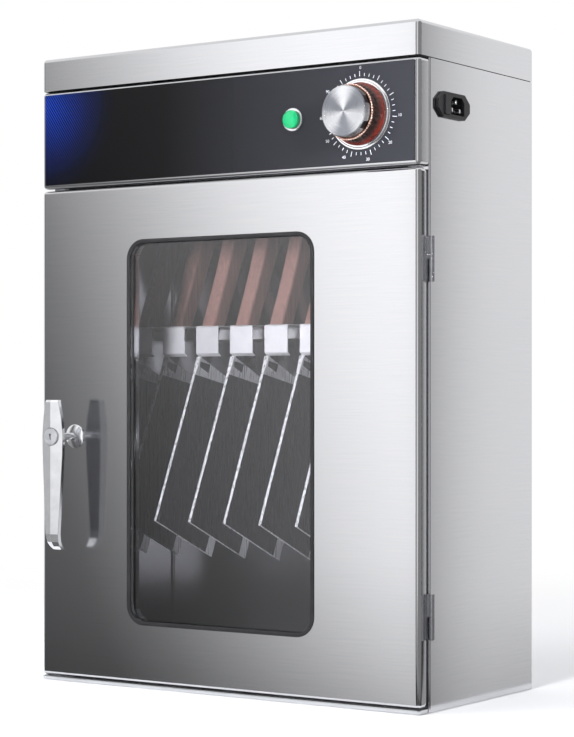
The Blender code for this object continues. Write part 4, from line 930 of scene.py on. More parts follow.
def to_object(name: str, shape: bmesh.types.BMesh | bpy.types.Mesh) -> bpy.types.Object:
    """Makes a mesh an object of the scene.

    Args:
        name: Name of the object.
        shape: Mesh, which is used up if it is a working mesh.

    Returns:
        The object, at the origin.
    """
    if isinstance(shape, bmesh.types.BMesh):
        mesh = bpy.data.meshes.new(name)
        shape.to_mesh(mesh)
        shape.free()
    else:
        mesh = shape
        mesh.name = name
    made = bpy.data.objects.new(name, mesh)
    bpy.context.scene.collection.objects.link(made)
    return made


def evaluated(item: bpy.types.Object) -> bpy.types.Mesh:
    """Freezes an object's modifiers to a plain mesh and removes the object.

    Args:
        item: Object with modifiers.

    Returns:
        The plain mesh.
    """
    bpy.context.view_layer.update()
    graph = bpy.context.evaluated_depsgraph_get()
    mesh = bpy.data.meshes.new_from_object(item.evaluated_get(graph))
    bpy.data.objects.remove(item, do_unlink=True)
    return mesh


def cut(shape: bmesh.types.BMesh, tools: Iterable[bmesh.types.BMesh | bpy.types.Mesh]) -> bmesh.types.BMesh:
    """Cuts closed tools out of a closed mesh.

    Args:
        shape: Mesh to cut, which is used up.
        tools: Meshes of what is taken away, which are used up.

    Returns:
        The mesh that is left.
    """
    target = to_object("cut", shape)
    cutters = [to_object("tool", tool) for tool in tools]
    for cutter in cutters:
        step = target.modifiers.new("tool", "BOOLEAN")
        step.operation = "DIFFERENCE"
        step.solver = "EXACT"
        step.object = cutter
    mesh = evaluated(target)
    for cutter in cutters:
        bpy.data.objects.remove(cutter, do_unlink=True)
    left = bmesh.new()
    left.from_mesh(mesh)
    bpy.data.meshes.remove(mesh)
    bmesh.ops.remove_doubles(left, verts=left.verts, dist=MERGE)
    return left


@dataclass
class ShapeTree:
    """A Geometry Nodes tree with named inputs that grows a mesh by a rule."""

    name: str
    sizes: dict[str, int | float | Spot]
    tree: bpy.types.NodeTree = field(init=False)
    entry: bpy.types.Node = field(init=False)

    def __post_init__(self) -> None:
        """Makes the tree with its inputs."""
        kinds = {int: "NodeSocketInt", float: "NodeSocketFloat", tuple: "NodeSocketVector"}
        self.tree = bpy.data.node_groups.new(self.name, "GeometryNodeTree")
        face = self.tree.interface
        face.new_socket("Geometry", in_out="INPUT", socket_type="NodeSocketGeometry")
        for label, value in self.sizes.items():
            face.new_socket(label, in_out="INPUT", socket_type=kinds[type(value)]).default_value = value
        face.new_socket("Geometry", in_out="OUTPUT", socket_type="NodeSocketGeometry")
        self.entry = add_node(self.tree, "NodeGroupInput")

    def node(self, kind: str, inputs: dict[str | int, object] | None = None, **settings: object) -> bpy.types.Node:
        """Adds a node to the tree."""
        return add_node(self.tree, kind, inputs, **settings)

    def size(self, label: str) -> bpy.types.NodeSocket:
        """Gives a named input's socket."""
        return self.entry.outputs[label]

    def grow(
        self, geometry: bpy.types.NodeSocket, finish: Finish, base: bmesh.types.BMesh | None = None
    ) -> bpy.types.Mesh:
        """Ends the tree, runs it and gives the plain mesh.

        Args:
            geometry: Last geometry socket of the rule.
            finish: Finish of the mesh.
            base: Mesh that the rule starts from, if any.

        Returns:
            The mesh, with no instances left.
        """
        real = self.node("GeometryNodeRealizeInstances", {"Geometry": geometry})
        dressed = self.node(
            "GeometryNodeSetMaterial", {"Geometry": real.outputs["Geometry"], "Material": finish.material()}
        )
        self.node("NodeGroupOutput", {"Geometry": dressed.outputs["Geometry"]})
        carrier = to_object(self.name, base or bmesh.new())
        rule = carrier.modifiers.new(self.name, "NODES")
        rule.node_group = self.tree
        for item in self.tree.interface.items_tree:
            if item.in_out == "INPUT" and item.name in self.sizes:
                rule[item.identifier] = self.sizes[item.name]
        return evaluated(carrier)


def box_of(node: str) -> tuple[Vector, Vector]:
    """Gives the lowest and highest corner of a node of the frame."""
    low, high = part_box(node)
    return Vector(low), Vector(high)


def merged(node: str) -> bmesh.types.BMesh:
    """Copies a node's loose triangles, merges them and dissolves the flat ones.

    Args:
        node: Name of the node.

    Returns:
        The mesh, in place.
    """
    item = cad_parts[node]
    shape = bmesh.new()
    shape.from_mesh(item.data)
    shape.transform(item.matrix_world)
    bmesh.ops.remove_doubles(shape, verts=shape.verts, dist=MERGE)
    bmesh.ops.dissolve_limit(shape, angle_limit=FLAT_ANGLE, verts=shape.verts, edges=shape.edges)
    return shape


@dataclass
class Assembly:
    """A sub-assembly that builds its pieces, dresses them and reports each."""

    def add(
        self,
        name: str,
        shape: bmesh.types.BMesh | bpy.types.Mesh,
        finish: Finish,
        body: Body | str,
        nodes: Iterable[str] = (),
        edge: float = 0.0,
        crease: float = SMOOTH_ANGLE,
    ) -> bpy.types.Object:
        """Makes a mesh a finished piece of the cabinet.

        Args:
            name: Name of the piece.
            shape: Its mesh, in place.
            finish: Its finish.
            body: Body that it rides on.
            nodes: Nodes of the frame that it stands for.
            edge: Radius that its sharp edges are broken by, if any.
            crease: Angle from which an edge stays sharp.

        Returns:
            The piece.
        """
        piece = to_object(name, shape)
        piece.data.materials.clear()
        piece.data.materials.append(finish.material())
        piece.data.shade_smooth()
        piece.data.set_sharp_from_angle(angle=crease)
        if edge:
            bevel = piece.modifiers.new("broken edges", "BEVEL")
            bevel.width = edge
            bevel.segments = 3
            bevel.limit_method = "ANGLE"
            bevel.angle_limit = SMOOTH_ANGLE
        flatten = piece.modifiers.new("flat faces", "WEIGHTED_NORMAL")
        flatten.keep_sharp = True
        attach(piece, body.value if isinstance(body, Body) else body)
        if nodes:
            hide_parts(*nodes)
        LOG.info("piece %s: %d faces, %s", name, len(piece.data.polygons), finish.name)
        return piece

    def refine(self, node: str, finish: Finish, body: Body | str, edge: float = 0.0003) -> None:
        """Breaks the edges of a node's form and puts the finished piece in its place.

        Args:
            node: Name of the node.
            finish: Its finish.
            body: Body that it rides on.
            edge: Radius that its edges are broken by.
        """
        self.add(f"{node}_finished", merged(node), finish, body, [node], edge)

    def dress(self, node: str, finish: Finish) -> None:
        """Gives a node of the frame its finish.

        Args:
            node: Name of the node.
            finish: Its finish.
        """
        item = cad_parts[node]
        for slot in item.material_slots:
            slot.material = finish.material()
        LOG.info("node %s: %s", node, finish.name)


# Case


@dataclass
class CaseShell(Assembly):
    """Top cap, wrapped sheet and base of the cabinet."""

    bend: float = 0.0040
    flange_bend: float = 0.0016
    flange: float = 0.0200
    foot_round: float = 0.0060
    steps: int = 8

    def cap_rings(self) -> list[list[Spot]]:
        """Gives the outlines of the folded cap, from inside its roof round its rim to its top.

        Returns:
            Rings in order along the cap's section.
        """
        low, high = box_of("top_cap")
        outside = arc((self.bend, high.z - self.bend), self.bend, 180, 90, self.steps)
        inside = arc((self.bend, high.z - self.bend), self.bend - SHEET, 90, 180, self.steps)
        section = inside + [(SHEET, low.z), (0, low.z)] + outside
        middle = ((low.x + high.x) / 2, (low.y + high.y) / 2)
        rings = []
        for inset, level in section:
            corner = max(self.bend - inset, 0.0004)
            size = (high.x - low.x - 2 * inset, high.y - low.y - 2 * inset)
            outline = rounded_rectangle(middle, *size, corner, self.steps)
            rings.append([(across, along, level) for across, along in outline])
        return rings

    def wrapper(self) -> bmesh.types.BMesh:
        """Builds the sheet that wraps the sides and back, with its front flanges and the inlet's opening.

        Returns:
            The mesh.
        """
        low, high = box_of("body_wrapper")
        half, front, back = high.x, low.y, high.y
        runs = []
        for inset in (0.0, SHEET):
            fold = (-half + self.flange_bend, front + self.flange_bend)
            rear = (-half + self.bend, back - self.bend)
            left = [(-half + self.flange, front + inset)]
            left += arc(fold, self.flange_bend - inset, 270, 180, self.steps)
            left += arc(rear, self.bend - inset, 180, 90, self.steps)
            runs.append(left + [(-x, y) for x, y in reversed(left)])
        sheet = prism(runs[0] + runs[1][::-1], low.z, high.z, Plane.PLAN)
        inlet_low, inlet_high = box_of("inlet_housing")
        depth, rise = 0.0196, 0.0107
        y, z = (inlet_low.y + inlet_high.y) / 2, (inlet_low.z + inlet_high.z) / 2
        opening = block((half - 0.004, y - depth, z - rise), (half + 0.004, y + depth, z + rise))
        foot = self.foot_round
        outline = arc((back - foot, foot), foot, 270, 360, self.steps)
        outline += [(back + 0.002, foot), (back + 0.002, -0.002), (back - foot, -0.002)]
        heel = prism(outline, -half - 0.002, half + 0.002, Plane.SIDE)
        return cut(sheet, [opening, heel])

    def build(self) -> None:
        """Builds the shell's pieces."""
        self.add("cap_sheet", lay_grain(loft(self.cap_rings()), Grain.LEVEL), BRUSHED, Body.CABINET, ["top_cap"])
        sheet = lay_grain(self.wrapper(), Grain.LEVEL)
        self.add("wrapped_sheet", sheet, BRUSHED, Body.CABINET, ["body_wrapper"])
        for node in ("base_pan", "partition_shelf"):
            self.dress(node, ROLLED)


# Control panel


@dataclass
class ControlPanel(Assembly):
    """Folded front tray with its printed film, dial marks and numerals."""

    bend: float = 0.0040
    step: float = 0.0020
    film_corner: float = 0.0010
    film_inset: float = 0.0009
    knob_x: float = 0.162
    pilot_x: float = 0.087
    level: float = 0.5515
    steps: int = 8
    mark_radius: float = 0.0352
    mark_length: float = 0.0028
    long_mark: float = 0.0048
    mark_width: float = 0.0006
    mark_count: int = 44
    marks_each: int = 4
    mark_start: float = math.radians(-7)
    numeral_radius: float = 0.0430
    numeral_size: float = 0.0040

    def tray(self) -> bmesh.types.BMesh:
        """Builds the folded tray as outlines along its section.

        Returns:
            The mesh, with holes for the knob's shaft and the lamp.
        """
        low, high = box_of("control_panel")
        front, rear = low.y, high.y
        edge = front + 0.0168 - SEAT
        bend = (self.bend, front + self.bend)
        section = arc(bend, self.bend, 270, 180, self.steps)
        section += [(0, edge), (self.step, edge), (self.step, rear)]
        section += [(self.step + SHEET, rear), (self.step + SHEET, edge - SHEET), (SHEET, edge - SHEET)]
        section += arc(bend, self.bend - SHEET, 180, 270, self.steps)
        middle = ((low.x + high.x) / 2, (low.z + high.z) / 2)
        rings = []
        for inset, y in section:
            corner = max(self.bend - inset, 0.0004)
            size = (high.x - low.x - 2 * inset, high.z - low.z - 2 * inset)
            outline = rounded_rectangle(middle, *size, corner, self.steps)
            rings.append([(across, y, up) for across, up in outline])
        holes = []
        for x, radius in ((self.knob_x, 0.0040), (self.pilot_x, 0.0081)):
            outline = arc((x, self.level), radius, 0, 360, 32)[:-1]
            holes.append(prism(outline, front - 0.002, front + 0.004, Plane.FRONT))
        return cut(loft(rings), holes)

    def film(self) -> bmesh.types.BMesh:
        """Builds the film with its two holes.

        Returns:
            The mesh.
        """
        low, high = box_of("panel_overlay")
        middle = ((low.x + high.x) / 2, (low.z + high.z) / 2)
        width, height = high.x - low.x - 2 * self.film_inset, high.z - low.z - 2 * self.film_inset
        outline = rounded_rectangle(middle, width, height, self.film_corner, self.steps)
        sheet = prism(outline, low.y, high.y, Plane.FRONT)
        holes = []
        for x, radius in ((self.knob_x, 0.0040), (self.pilot_x, 0.0081)):
            ring = arc((x, self.level), radius, 0, 360, 32)[:-1]
            holes.append(prism(ring, low.y - 0.001, high.y + 0.001, Plane.FRONT))
        return cut(sheet, holes)

    def marks(self) -> bpy.types.Mesh:
        """Grows the dial's printed marks: a bar at each step of the scale, longer at every fourth.

        Returns:
            The mesh.
        """
        rule = ShapeTree(
            "dial marks",
            {
                "Count": self.mark_count,
                "Long each": self.marks_each,
                "Radius": self.mark_radius,
                "Length": self.mark_length,
                "Long length": self.long_mark,
                "Width": self.mark_width,
                "Start": self.mark_start,
                "Centre": (self.knob_x, -0.11086, self.level),
            },
        )
        points = rule.node("GeometryNodePoints", {"Count": rule.size("Count")})
        index = rule.node("GeometryNodeInputIndex")
        share = rule.node(
            "ShaderNodeMath", {0: index.outputs["Index"], 1: rule.size("Count")}, operation="DIVIDE"
        )
        angle = rule.node(
            "ShaderNodeMath",
            {0: share.outputs["Value"], 1: FULL_TURN, 2: rule.size("Start")},
            operation="MULTIPLY_ADD",
        )
        rest = rule.node(
            "ShaderNodeMath", {0: index.outputs["Index"], 1: rule.size("Long each")}, operation="MODULO"
        )
        is_long = rule.node("ShaderNodeMath", {0: rest.outputs["Value"], 1: 0.5}, operation="LESS_THAN")
        length = rule.node(
            "ShaderNodeMapRange",
            {"Value": is_long.outputs["Value"], "To Min": rule.size("Length"), "To Max": rule.size("Long length")},
        )
        half = rule.node("ShaderNodeMath", {0: length.outputs["Result"], 1: 0.5}, operation="MULTIPLY")
        reach = rule.node("ShaderNodeMath", {0: half.outputs["Value"], 1: rule.size("Radius")}, operation="ADD")
        cosine = rule.node("ShaderNodeMath", {0: angle.outputs["Value"]}, operation="COSINE")
        sine = rule.node("ShaderNodeMath", {0: angle.outputs["Value"]}, operation="SINE")
        heading = rule.node(
            "ShaderNodeCombineXYZ", {"X": cosine.outputs["Value"], "Y": 0.0, "Z": sine.outputs["Value"]}
        )
        arm = rule.node(
            "ShaderNodeVectorMath", {0: heading.outputs["Vector"], "Scale": reach.outputs["Value"]}, operation="SCALE"
        )
        spot = rule.node("ShaderNodeVectorMath", {0: arm.outputs["Vector"], 1: rule.size("Centre")}, operation="ADD")
        placed = rule.node(
            "GeometryNodeSetPosition", {"Geometry": points.outputs[0], "Position": spot.outputs["Vector"]}
        )
        turn = rule.node("ShaderNodeMath", {0: angle.outputs["Value"], 1: -1.0}, operation="MULTIPLY")
        spin = rule.node("ShaderNodeCombineXYZ", {"X": 0.0, "Y": turn.outputs["Value"], "Z": 0.0})
        bar = rule.node("GeometryNodeMeshCube", {"Size": (1.0, 0.00006, 1.0)})
        size = rule.node(
            "ShaderNodeCombineXYZ", {"X": length.outputs["Result"], "Y": 1.0, "Z": rule.size("Width")}
        )
        bars = rule.node(
            "GeometryNodeInstanceOnPoints",
            {
                "Points": placed.outputs["Geometry"],
                "Instance": bar.outputs["Mesh"],
                "Rotation": spin.outputs["Vector"],
                "Scale": size.outputs["Vector"],
            },
        )
        return rule.grow(bars.outputs["Instances"], PRINT)

    def numerals(self) -> bmesh.types.BMesh:
        """Sets plain numbers round the dial.

        Returns:
            One mesh with all the numbers.
        """
        shapes = []
        labels = {90: "0", -5: "10", -41: "20", -79: "30", -115: "40", -148: "50", -179: "60", 147: "90"}
        for angle, label in labels.items():
            text = bpy.data.curves.new("numeral", "FONT")
            text.body = label
            text.size = self.numeral_size
            text.align_x = "CENTER"
            text.align_y = "CENTER"
            text.extrude = 0.00003
            mesh = evaluated(self.linked(text))
            part = bmesh.new()
            part.from_mesh(mesh)
            bmesh.ops.remove_doubles(part, verts=part.verts, dist=MERGE / 10)
            heading = math.radians(angle)
            x = self.knob_x + self.numeral_radius * math.cos(heading)
            z = self.level + self.numeral_radius * math.sin(heading)
            place = Matrix.Translation((x, -0.11086, z)) @ Matrix.Rotation(math.radians(90), 4, "X")
            bmesh.ops.transform(part, matrix=place, verts=part.verts)
            shapes.append(part)
        return joined(shapes)

    def linked(self, curve: bpy.types.Curve) -> bpy.types.Object:
        """Links a curve to the scene as an object."""
        made = bpy.data.objects.new(curve.name, curve)
        bpy.context.scene.collection.objects.link(made)
        return made

    def build(self) -> None:
        """Builds the panel's pieces."""
        tray = lay_grain(self.tray(), Grain.LEVEL)
        self.add("panel_tray", tray, BRUSHED, Body.CABINET, ["control_panel"])
        self.add("panel_film", self.film(), FILM, Body.CABINET, ["panel_overlay"], edge=0.0001)
        self.add("dial_marks", self.marks(), PRINT, Body.CABINET)
        self.add("dial_numerals", self.numerals(), PRINT, Body.CABINET)


@dataclass
class TimerKnob(Assembly):
    """Fluted skirt, beaded ring and spun cap on the timer's shaft, over a fixed dial ring."""

    centre: Spot = (0.162, -0.1108, 0.5515)
    sides: int = 144
    bore: float = 0.0033
    socket_depth: float = 0.0090
    skirt_radius: float = 0.0292
    skirt_waist: float = 0.0246
    skirt_shoulder: float = 0.0255
    skirt_height: float = 0.0142
    skirt_low: float = 0.0027
    skirt_rim: float = 0.0018
    rim_break: float = 0.0003
    waist_share: float = 0.35
    flare_steps: int = 14
    flutes: int = 36
    flute_depth: float = 0.0007
    beads: int = 64
    bead_radius: float = 0.00098
    bead_seat: float = 0.0004
    band_break: float = 0.0004
    ring_low: float = 0.0172
    ring_height: float = 0.0034
    cap_radius: float = 0.0238
    cap_low: float = 0.0209
    cap_top: float = 0.0295
    notches: int = 6
    notch_width: float = 0.0080
    notch_depth: float = 0.0024
    notch_start: float = math.radians(25)
    face_rim: float = 0.0016
    # How far the black painted-shade blocks sit back from the rim
    shade_block_recess: float = 0.0005

    def skirt_base(self) -> bmesh.types.BMesh:
        """Turns the plain flared skirt.

        Returns:
            The mesh before its flutes.
        """
        low, top = self.skirt_low, self.skirt_low + self.skirt_height
        points = [(self.bore, top), (self.skirt_shoulder - SHEET, top)]
        for i in range(self.flare_steps + 1):
            share = i / self.flare_steps
            height = top - self.skirt_rim / 2 - (top - self.skirt_rim - low) * share
            flare = 1 - math.cos(math.pi / 2 * max(0.0, share - self.waist_share) / (1 - self.waist_share))
            shoulder = max(0.0, 1 - share / self.waist_share) ** 2
            radius = self.skirt_waist + (self.skirt_radius - self.skirt_waist) * flare
            points.append((radius + (self.skirt_shoulder - self.skirt_waist) * shoulder, height))
        wall = self.skirt_radius - self.skirt_waist
        points += [(self.skirt_radius, low + self.rim_break), (self.skirt_radius - self.rim_break, low)]
        points += [(self.skirt_waist - SHEET, low), (self.skirt_waist - wall, top - wall), (self.bore, top - wall)]
        return lathe(points, self.centre, self.sides, ring=True)

    def fluted(self, base: bmesh.types.BMesh, count: int, depth: float, finish: Finish) -> bpy.types.Mesh:
        """Presses even flutes into a turned mesh.

        Args:
            base: Turned mesh.
            count: Number of flutes.
            depth: Depth of a flute at the skirt's waist.
            finish: Finish of the mesh.

        Returns:
            The fluted mesh.
        """
        rule = ShapeTree(
            "fluting",
            {
                "Count": count,
                "Depth": depth,
                "Inside": self.skirt_waist - 2 * depth,
                "Rim": self.centre[1] - self.skirt_low - self.skirt_rim,
                "Shoulder": self.centre[1] - self.skirt_low - self.skirt_height + 0.0012,
                "Centre": self.centre,
            },
        )
        here = rule.node("GeometryNodeInputPosition")
        arm = rule.node(
            "ShaderNodeVectorMath", {0: here.outputs["Position"], 1: rule.size("Centre")}, operation="SUBTRACT"
        )
        flat = rule.node("ShaderNodeVectorMath", {0: arm.outputs["Vector"], 1: (1, 0, 1)}, operation="MULTIPLY")
        radius = rule.node("ShaderNodeVectorMath", {0: flat.outputs["Vector"]}, operation="LENGTH")
        parts = rule.node("ShaderNodeSeparateXYZ", {"Vector": flat.outputs["Vector"]})
        angle = rule.node("ShaderNodeMath", {0: parts.outputs["Z"], 1: parts.outputs["X"]}, operation="ARCTAN2")
        turns = rule.node("ShaderNodeMath", {0: angle.outputs["Value"], 1: rule.size("Count")}, operation="MULTIPLY")
        wave = rule.node("ShaderNodeMath", {0: turns.outputs["Value"]}, operation="COSINE")
        lift = rule.node(
            "ShaderNodeMapRange",
            {
                "Value": wave.outputs["Value"],
                "From Min": -1.0,
                "From Max": 1.0,
                "To Min": rule.size("Depth"),
                "To Max": 0.0,
            },
        )
        outward = rule.node("ShaderNodeVectorMath", {0: flat.outputs["Vector"]}, operation="NORMALIZE")
        back = rule.node("ShaderNodeMath", {0: lift.outputs["Result"], 1: -1.0}, operation="MULTIPLY")
        move = rule.node(
            "ShaderNodeVectorMath", {0: outward.outputs["Vector"], "Scale": back.outputs["Value"]}, operation="SCALE"
        )
        is_out = rule.node(
            "ShaderNodeMath", {0: radius.outputs["Value"], 1: rule.size("Inside")}, operation="GREATER_THAN"
        )
        depth_part = rule.node("ShaderNodeSeparateXYZ", {"Vector": here.outputs["Position"]})
        above = rule.node("ShaderNodeMath", {0: depth_part.outputs["Y"], 1: rule.size("Rim")}, operation="LESS_THAN")
        below = rule.node(
            "ShaderNodeMath", {0: depth_part.outputs["Y"], 1: rule.size("Shoulder")}, operation="GREATER_THAN"
        )
        both = rule.node("ShaderNodeMath", {0: above.outputs["Value"], 1: below.outputs["Value"]}, operation="MULTIPLY")
        every = {0: both.outputs["Value"], 1: is_out.outputs["Value"]}
        chosen = rule.node("ShaderNodeMath", every, operation="MULTIPLY")
        moved = rule.node(
            "GeometryNodeSetPosition",
            {
                "Geometry": rule.size("Geometry"),
                "Selection": chosen.outputs["Value"],
                "Offset": move.outputs["Vector"],
            },
        )
        return rule.grow(moved.outputs["Geometry"], finish, base)

    def bead_band(self) -> bmesh.types.BMesh:
        """Turns the band that carries the beads.

        Returns:
            The mesh.
        """
        inner = self.cap_radius - self.notch_depth - SHEET
        low, high = self.ring_low, self.ring_low + self.ring_height - self.bead_seat
        outer = self.skirt_shoulder - self.bead_seat
        worn = self.band_break
        band = [(inner, high), (outer - worn, high), (outer, high - worn), (outer, low + worn)]
        band += [(outer - worn, low), (inner, low)]
        return lathe(band, self.centre, self.sides, ring=True)

    def bead_ring(self) -> bpy.types.Mesh:
        """Grows the string of beads.

        Returns:
            The mesh.
        """
        x, y, z = self.centre
        level = self.ring_low + self.ring_height - self.bead_radius
        rule = ShapeTree(
            "bead ring",
            {
                "Count": self.beads,
                "Ring radius": self.skirt_shoulder - self.bead_seat / 2,
                "Bead radius": self.bead_radius,
                "Centre": (x, y - level, z),
            },
        )
        circle = rule.node(
            "GeometryNodeMeshCircle", {"Vertices": rule.size("Count"), "Radius": rule.size("Ring radius")}
        )
        stood = rule.node(
            "GeometryNodeTransform",
            {"Geometry": circle.outputs["Mesh"], "Translation": rule.size("Centre"), "Rotation": (math.pi / 2, 0, 0)},
        )
        bead = rule.node(
            "GeometryNodeMeshIcoSphere", {"Radius": rule.size("Bead radius"), "Subdivisions": 3}
        )
        strung = rule.node(
            "GeometryNodeInstanceOnPoints", {"Points": stood.outputs["Geometry"], "Instance": bead.outputs["Mesh"]}
        )
        return rule.grow(strung.outputs["Instances"], COPPER)

    def notch_blocks(self, name: str, inner: float, outer: float, span: Point, finish: Finish) -> bpy.types.Mesh:
        """Grows a block at each notch in the cap's side.

        Args:
            name: Name of the rule.
            inner: Radius where the blocks begin.
            outer: Radius where they end.
            span: Lowest and highest level above the seat.
            finish: Finish of the mesh.

        Returns:
            One mesh with all the blocks.
        """
        rule = ShapeTree(
            name,
            {
                "Count": self.notches,
                "Start": self.notch_start,
                "Reach": (inner + outer) / 2,
                "Block": (outer - inner, span[1] - span[0], self.notch_width),
                "Centre": (self.centre[0], self.centre[1] - (span[0] + span[1]) / 2, self.centre[2]),
            },
        )
        points = rule.node("GeometryNodePoints", {"Count": rule.size("Count")})
        index = rule.node("GeometryNodeInputIndex")
        share = rule.node("ShaderNodeMath", {0: index.outputs["Index"], 1: rule.size("Count")}, operation="DIVIDE")
        angle = rule.node(
            "ShaderNodeMath",
            {0: share.outputs["Value"], 1: FULL_TURN, 2: rule.size("Start")},
            operation="MULTIPLY_ADD",
        )
        cosine = rule.node("ShaderNodeMath", {0: angle.outputs["Value"]}, operation="COSINE")
        sine = rule.node("ShaderNodeMath", {0: angle.outputs["Value"]}, operation="SINE")
        heading = rule.node("ShaderNodeCombineXYZ", {"X": cosine.outputs["Value"], "Z": sine.outputs["Value"]})
        arm = rule.node(
            "ShaderNodeVectorMath", {0: heading.outputs["Vector"], "Scale": rule.size("Reach")}, operation="SCALE"
        )
        spot = rule.node("ShaderNodeVectorMath", {0: arm.outputs["Vector"], 1: rule.size("Centre")}, operation="ADD")
        placed = rule.node(
            "GeometryNodeSetPosition", {"Geometry": points.outputs[0], "Position": spot.outputs["Vector"]}
        )
        turn = rule.node("ShaderNodeMath", {0: angle.outputs["Value"], 1: -1.0}, operation="MULTIPLY")
        spin = rule.node("ShaderNodeCombineXYZ", {"Y": turn.outputs["Value"]})
        piece = rule.node("GeometryNodeMeshCube", {"Size": rule.size("Block")})
        row = rule.node(
            "GeometryNodeInstanceOnPoints",
            {
                "Points": placed.outputs["Geometry"],
                "Instance": piece.outputs["Mesh"],
                "Rotation": spin.outputs["Vector"],
            },
        )
        return rule.grow(row.outputs["Instances"], finish)

    def cap(self) -> bmesh.types.BMesh:
        """Turns the cap with its bright rim and cuts its notches.

        Returns:
            The mesh.
        """
        stub = self.cap_radius - self.notch_depth - SHEET - SEAT
        low = self.ring_low
        floor = low + self.socket_depth
        points = [
            (0, self.cap_top - 0.0002),
            (self.cap_radius - 0.0040, self.cap_top - 0.0002),
            (self.cap_radius - 0.0036, self.cap_top),
            (self.cap_radius - 0.0010, self.cap_top),
            (self.cap_radius - 0.0002, self.cap_top - 0.0006),
            (self.cap_radius, self.cap_top - 0.0012),
            (self.cap_radius, self.cap_low),
            (stub, self.cap_low),
            (stub, low),
            (self.bore, low),
            (self.bore, floor),
            (0, floor),
        ]
        floor_radius = self.cap_radius - self.notch_depth
        span = (self.cap_low - OVERRUN, self.cap_top - self.face_rim)
        tools = self.notch_blocks("cap notches", floor_radius, self.cap_radius + 2 * OVERRUN, span, SPUN)
        return cut(lathe(points, self.centre, self.sides), [tools])

    def notch_shade_blocks(self) -> bpy.types.Mesh:
        """Fills each notch with a black block, set back from the rim, as painted shade in the notch.

        Returns:
            The mesh.
        """
        pads = replace(self, notch_width=self.notch_width - SEAT)
        inner = self.cap_radius - self.notch_depth + SEAT / 4
        span = (self.cap_low + SEAT / 2, self.cap_top - self.face_rim - SEAT / 4)
        return pads.notch_blocks("notch shade pads", inner, self.cap_radius - self.shade_block_recess, span, NYLON)

    def dial_ring(self) -> bmesh.types.BMesh:
        """Turns the fixed chrome ring under the knob.

        Returns:
            The mesh.
        """
        inner, outer, land, rise = 0.0200, 0.0330, 0.0016, 0.0024
        points = [(inner, rise), (outer - land - rise / 2, rise)]
        points += arc((outer - land - rise / 2, rise / 2), rise / 2, 90, 0, 6)[1:]
        points += [(outer - rise / 4, rise / 2)]
        points += arc((outer - rise / 4, rise / 4), rise / 4, 90, 0, 6)[1:]
        points += [(outer, SEAT), (inner, SEAT)]
        return lathe(points, self.centre, self.sides, ring=True)

    def build(self) -> None:
        """Builds the knob's pieces."""
        self.add("dial_ring_turned", self.dial_ring(), CHROME, Body.CABINET, ["dial_ring"])
        skirt = self.fluted(self.skirt_base(), self.flutes, self.flute_depth, PHENOLIC)
        self.add("skirt_fluted", skirt, PHENOLIC, Body.KNOB, ["knob_skirt"])
        # The band's dark copper is painted shade between the beads
        self.add("bead_band_turned", self.bead_band(), SHADED_BAND_COPPER, Body.KNOB, ["knob_bead_ring"])
        self.add("beads_plated", self.bead_ring(), COPPER, Body.KNOB)
        cap = lay_grain(self.cap(), Grain.ROUND, self.centre)
        self.add("cap_spun", cap, SPUN, Body.KNOB, ["knob_cap"])
        # Black blocks in the notches: painted shade of the notch cavities
        self.add("grip_pads", self.notch_shade_blocks(), NYLON, Body.KNOB)
        self.dress("timer_shaft", DARK_STEEL)
        self.dress("timer_body", CERAMIC)


@dataclass
class PilotLamp(Assembly):
    """Green pilot lamp in its chrome bezel."""

    centre: Spot = (0.087, -0.1108, 0.5515)
    sides: int = 96
    lens_radius: float = 0.0088
    lens_low: float = 0.0015
    lens_height: float = 0.0056
    lens_dome: float = 0.0014
    dome_steps: int = 8
    rim_round: float = 0.0008
    rim_drop: float = 0.0006
    bezel_bore: float = 0.0068
    bezel_radius: float = 0.0112
    bezel_height: float = 0.0024

    def build(self) -> None:
        """Builds the lamp's pieces."""
        inner, gap = self.bezel_bore, self.lens_radius + SEAT
        high, radius = self.bezel_height, self.bezel_radius
        points = [(inner, high / 2), (gap, high / 2), (gap, high)]
        points += arc((radius - high / 2, high / 2), high / 2, 90, 0, 8)
        points += [(radius, SEAT), (inner, SEAT)]
        bezel = lathe(points, self.centre, self.sides, ring=True)
        self.add("bezel_turned", bezel, CHROME, Body.CABINET, ["pilot_bezel"])
        top = self.lens_low + self.lens_height
        rim = top - self.lens_dome
        steps, rounding = self.dome_steps, self.rim_round
        points = [(self.lens_radius * i / steps, top - self.lens_dome * (i / steps) ** 2) for i in range(steps)]
        points += arc((self.lens_radius - rounding, rim - self.rim_drop), rounding, 70, 0, 6)
        points += [(self.lens_radius, self.lens_low), (0, self.lens_low)]
        self.add("lens_moulded", lathe(points, self.centre, self.sides), LENS, Body.CABINET, ["pilot_lens"])
        self.dress("pilot_body", NYLON)


# Door


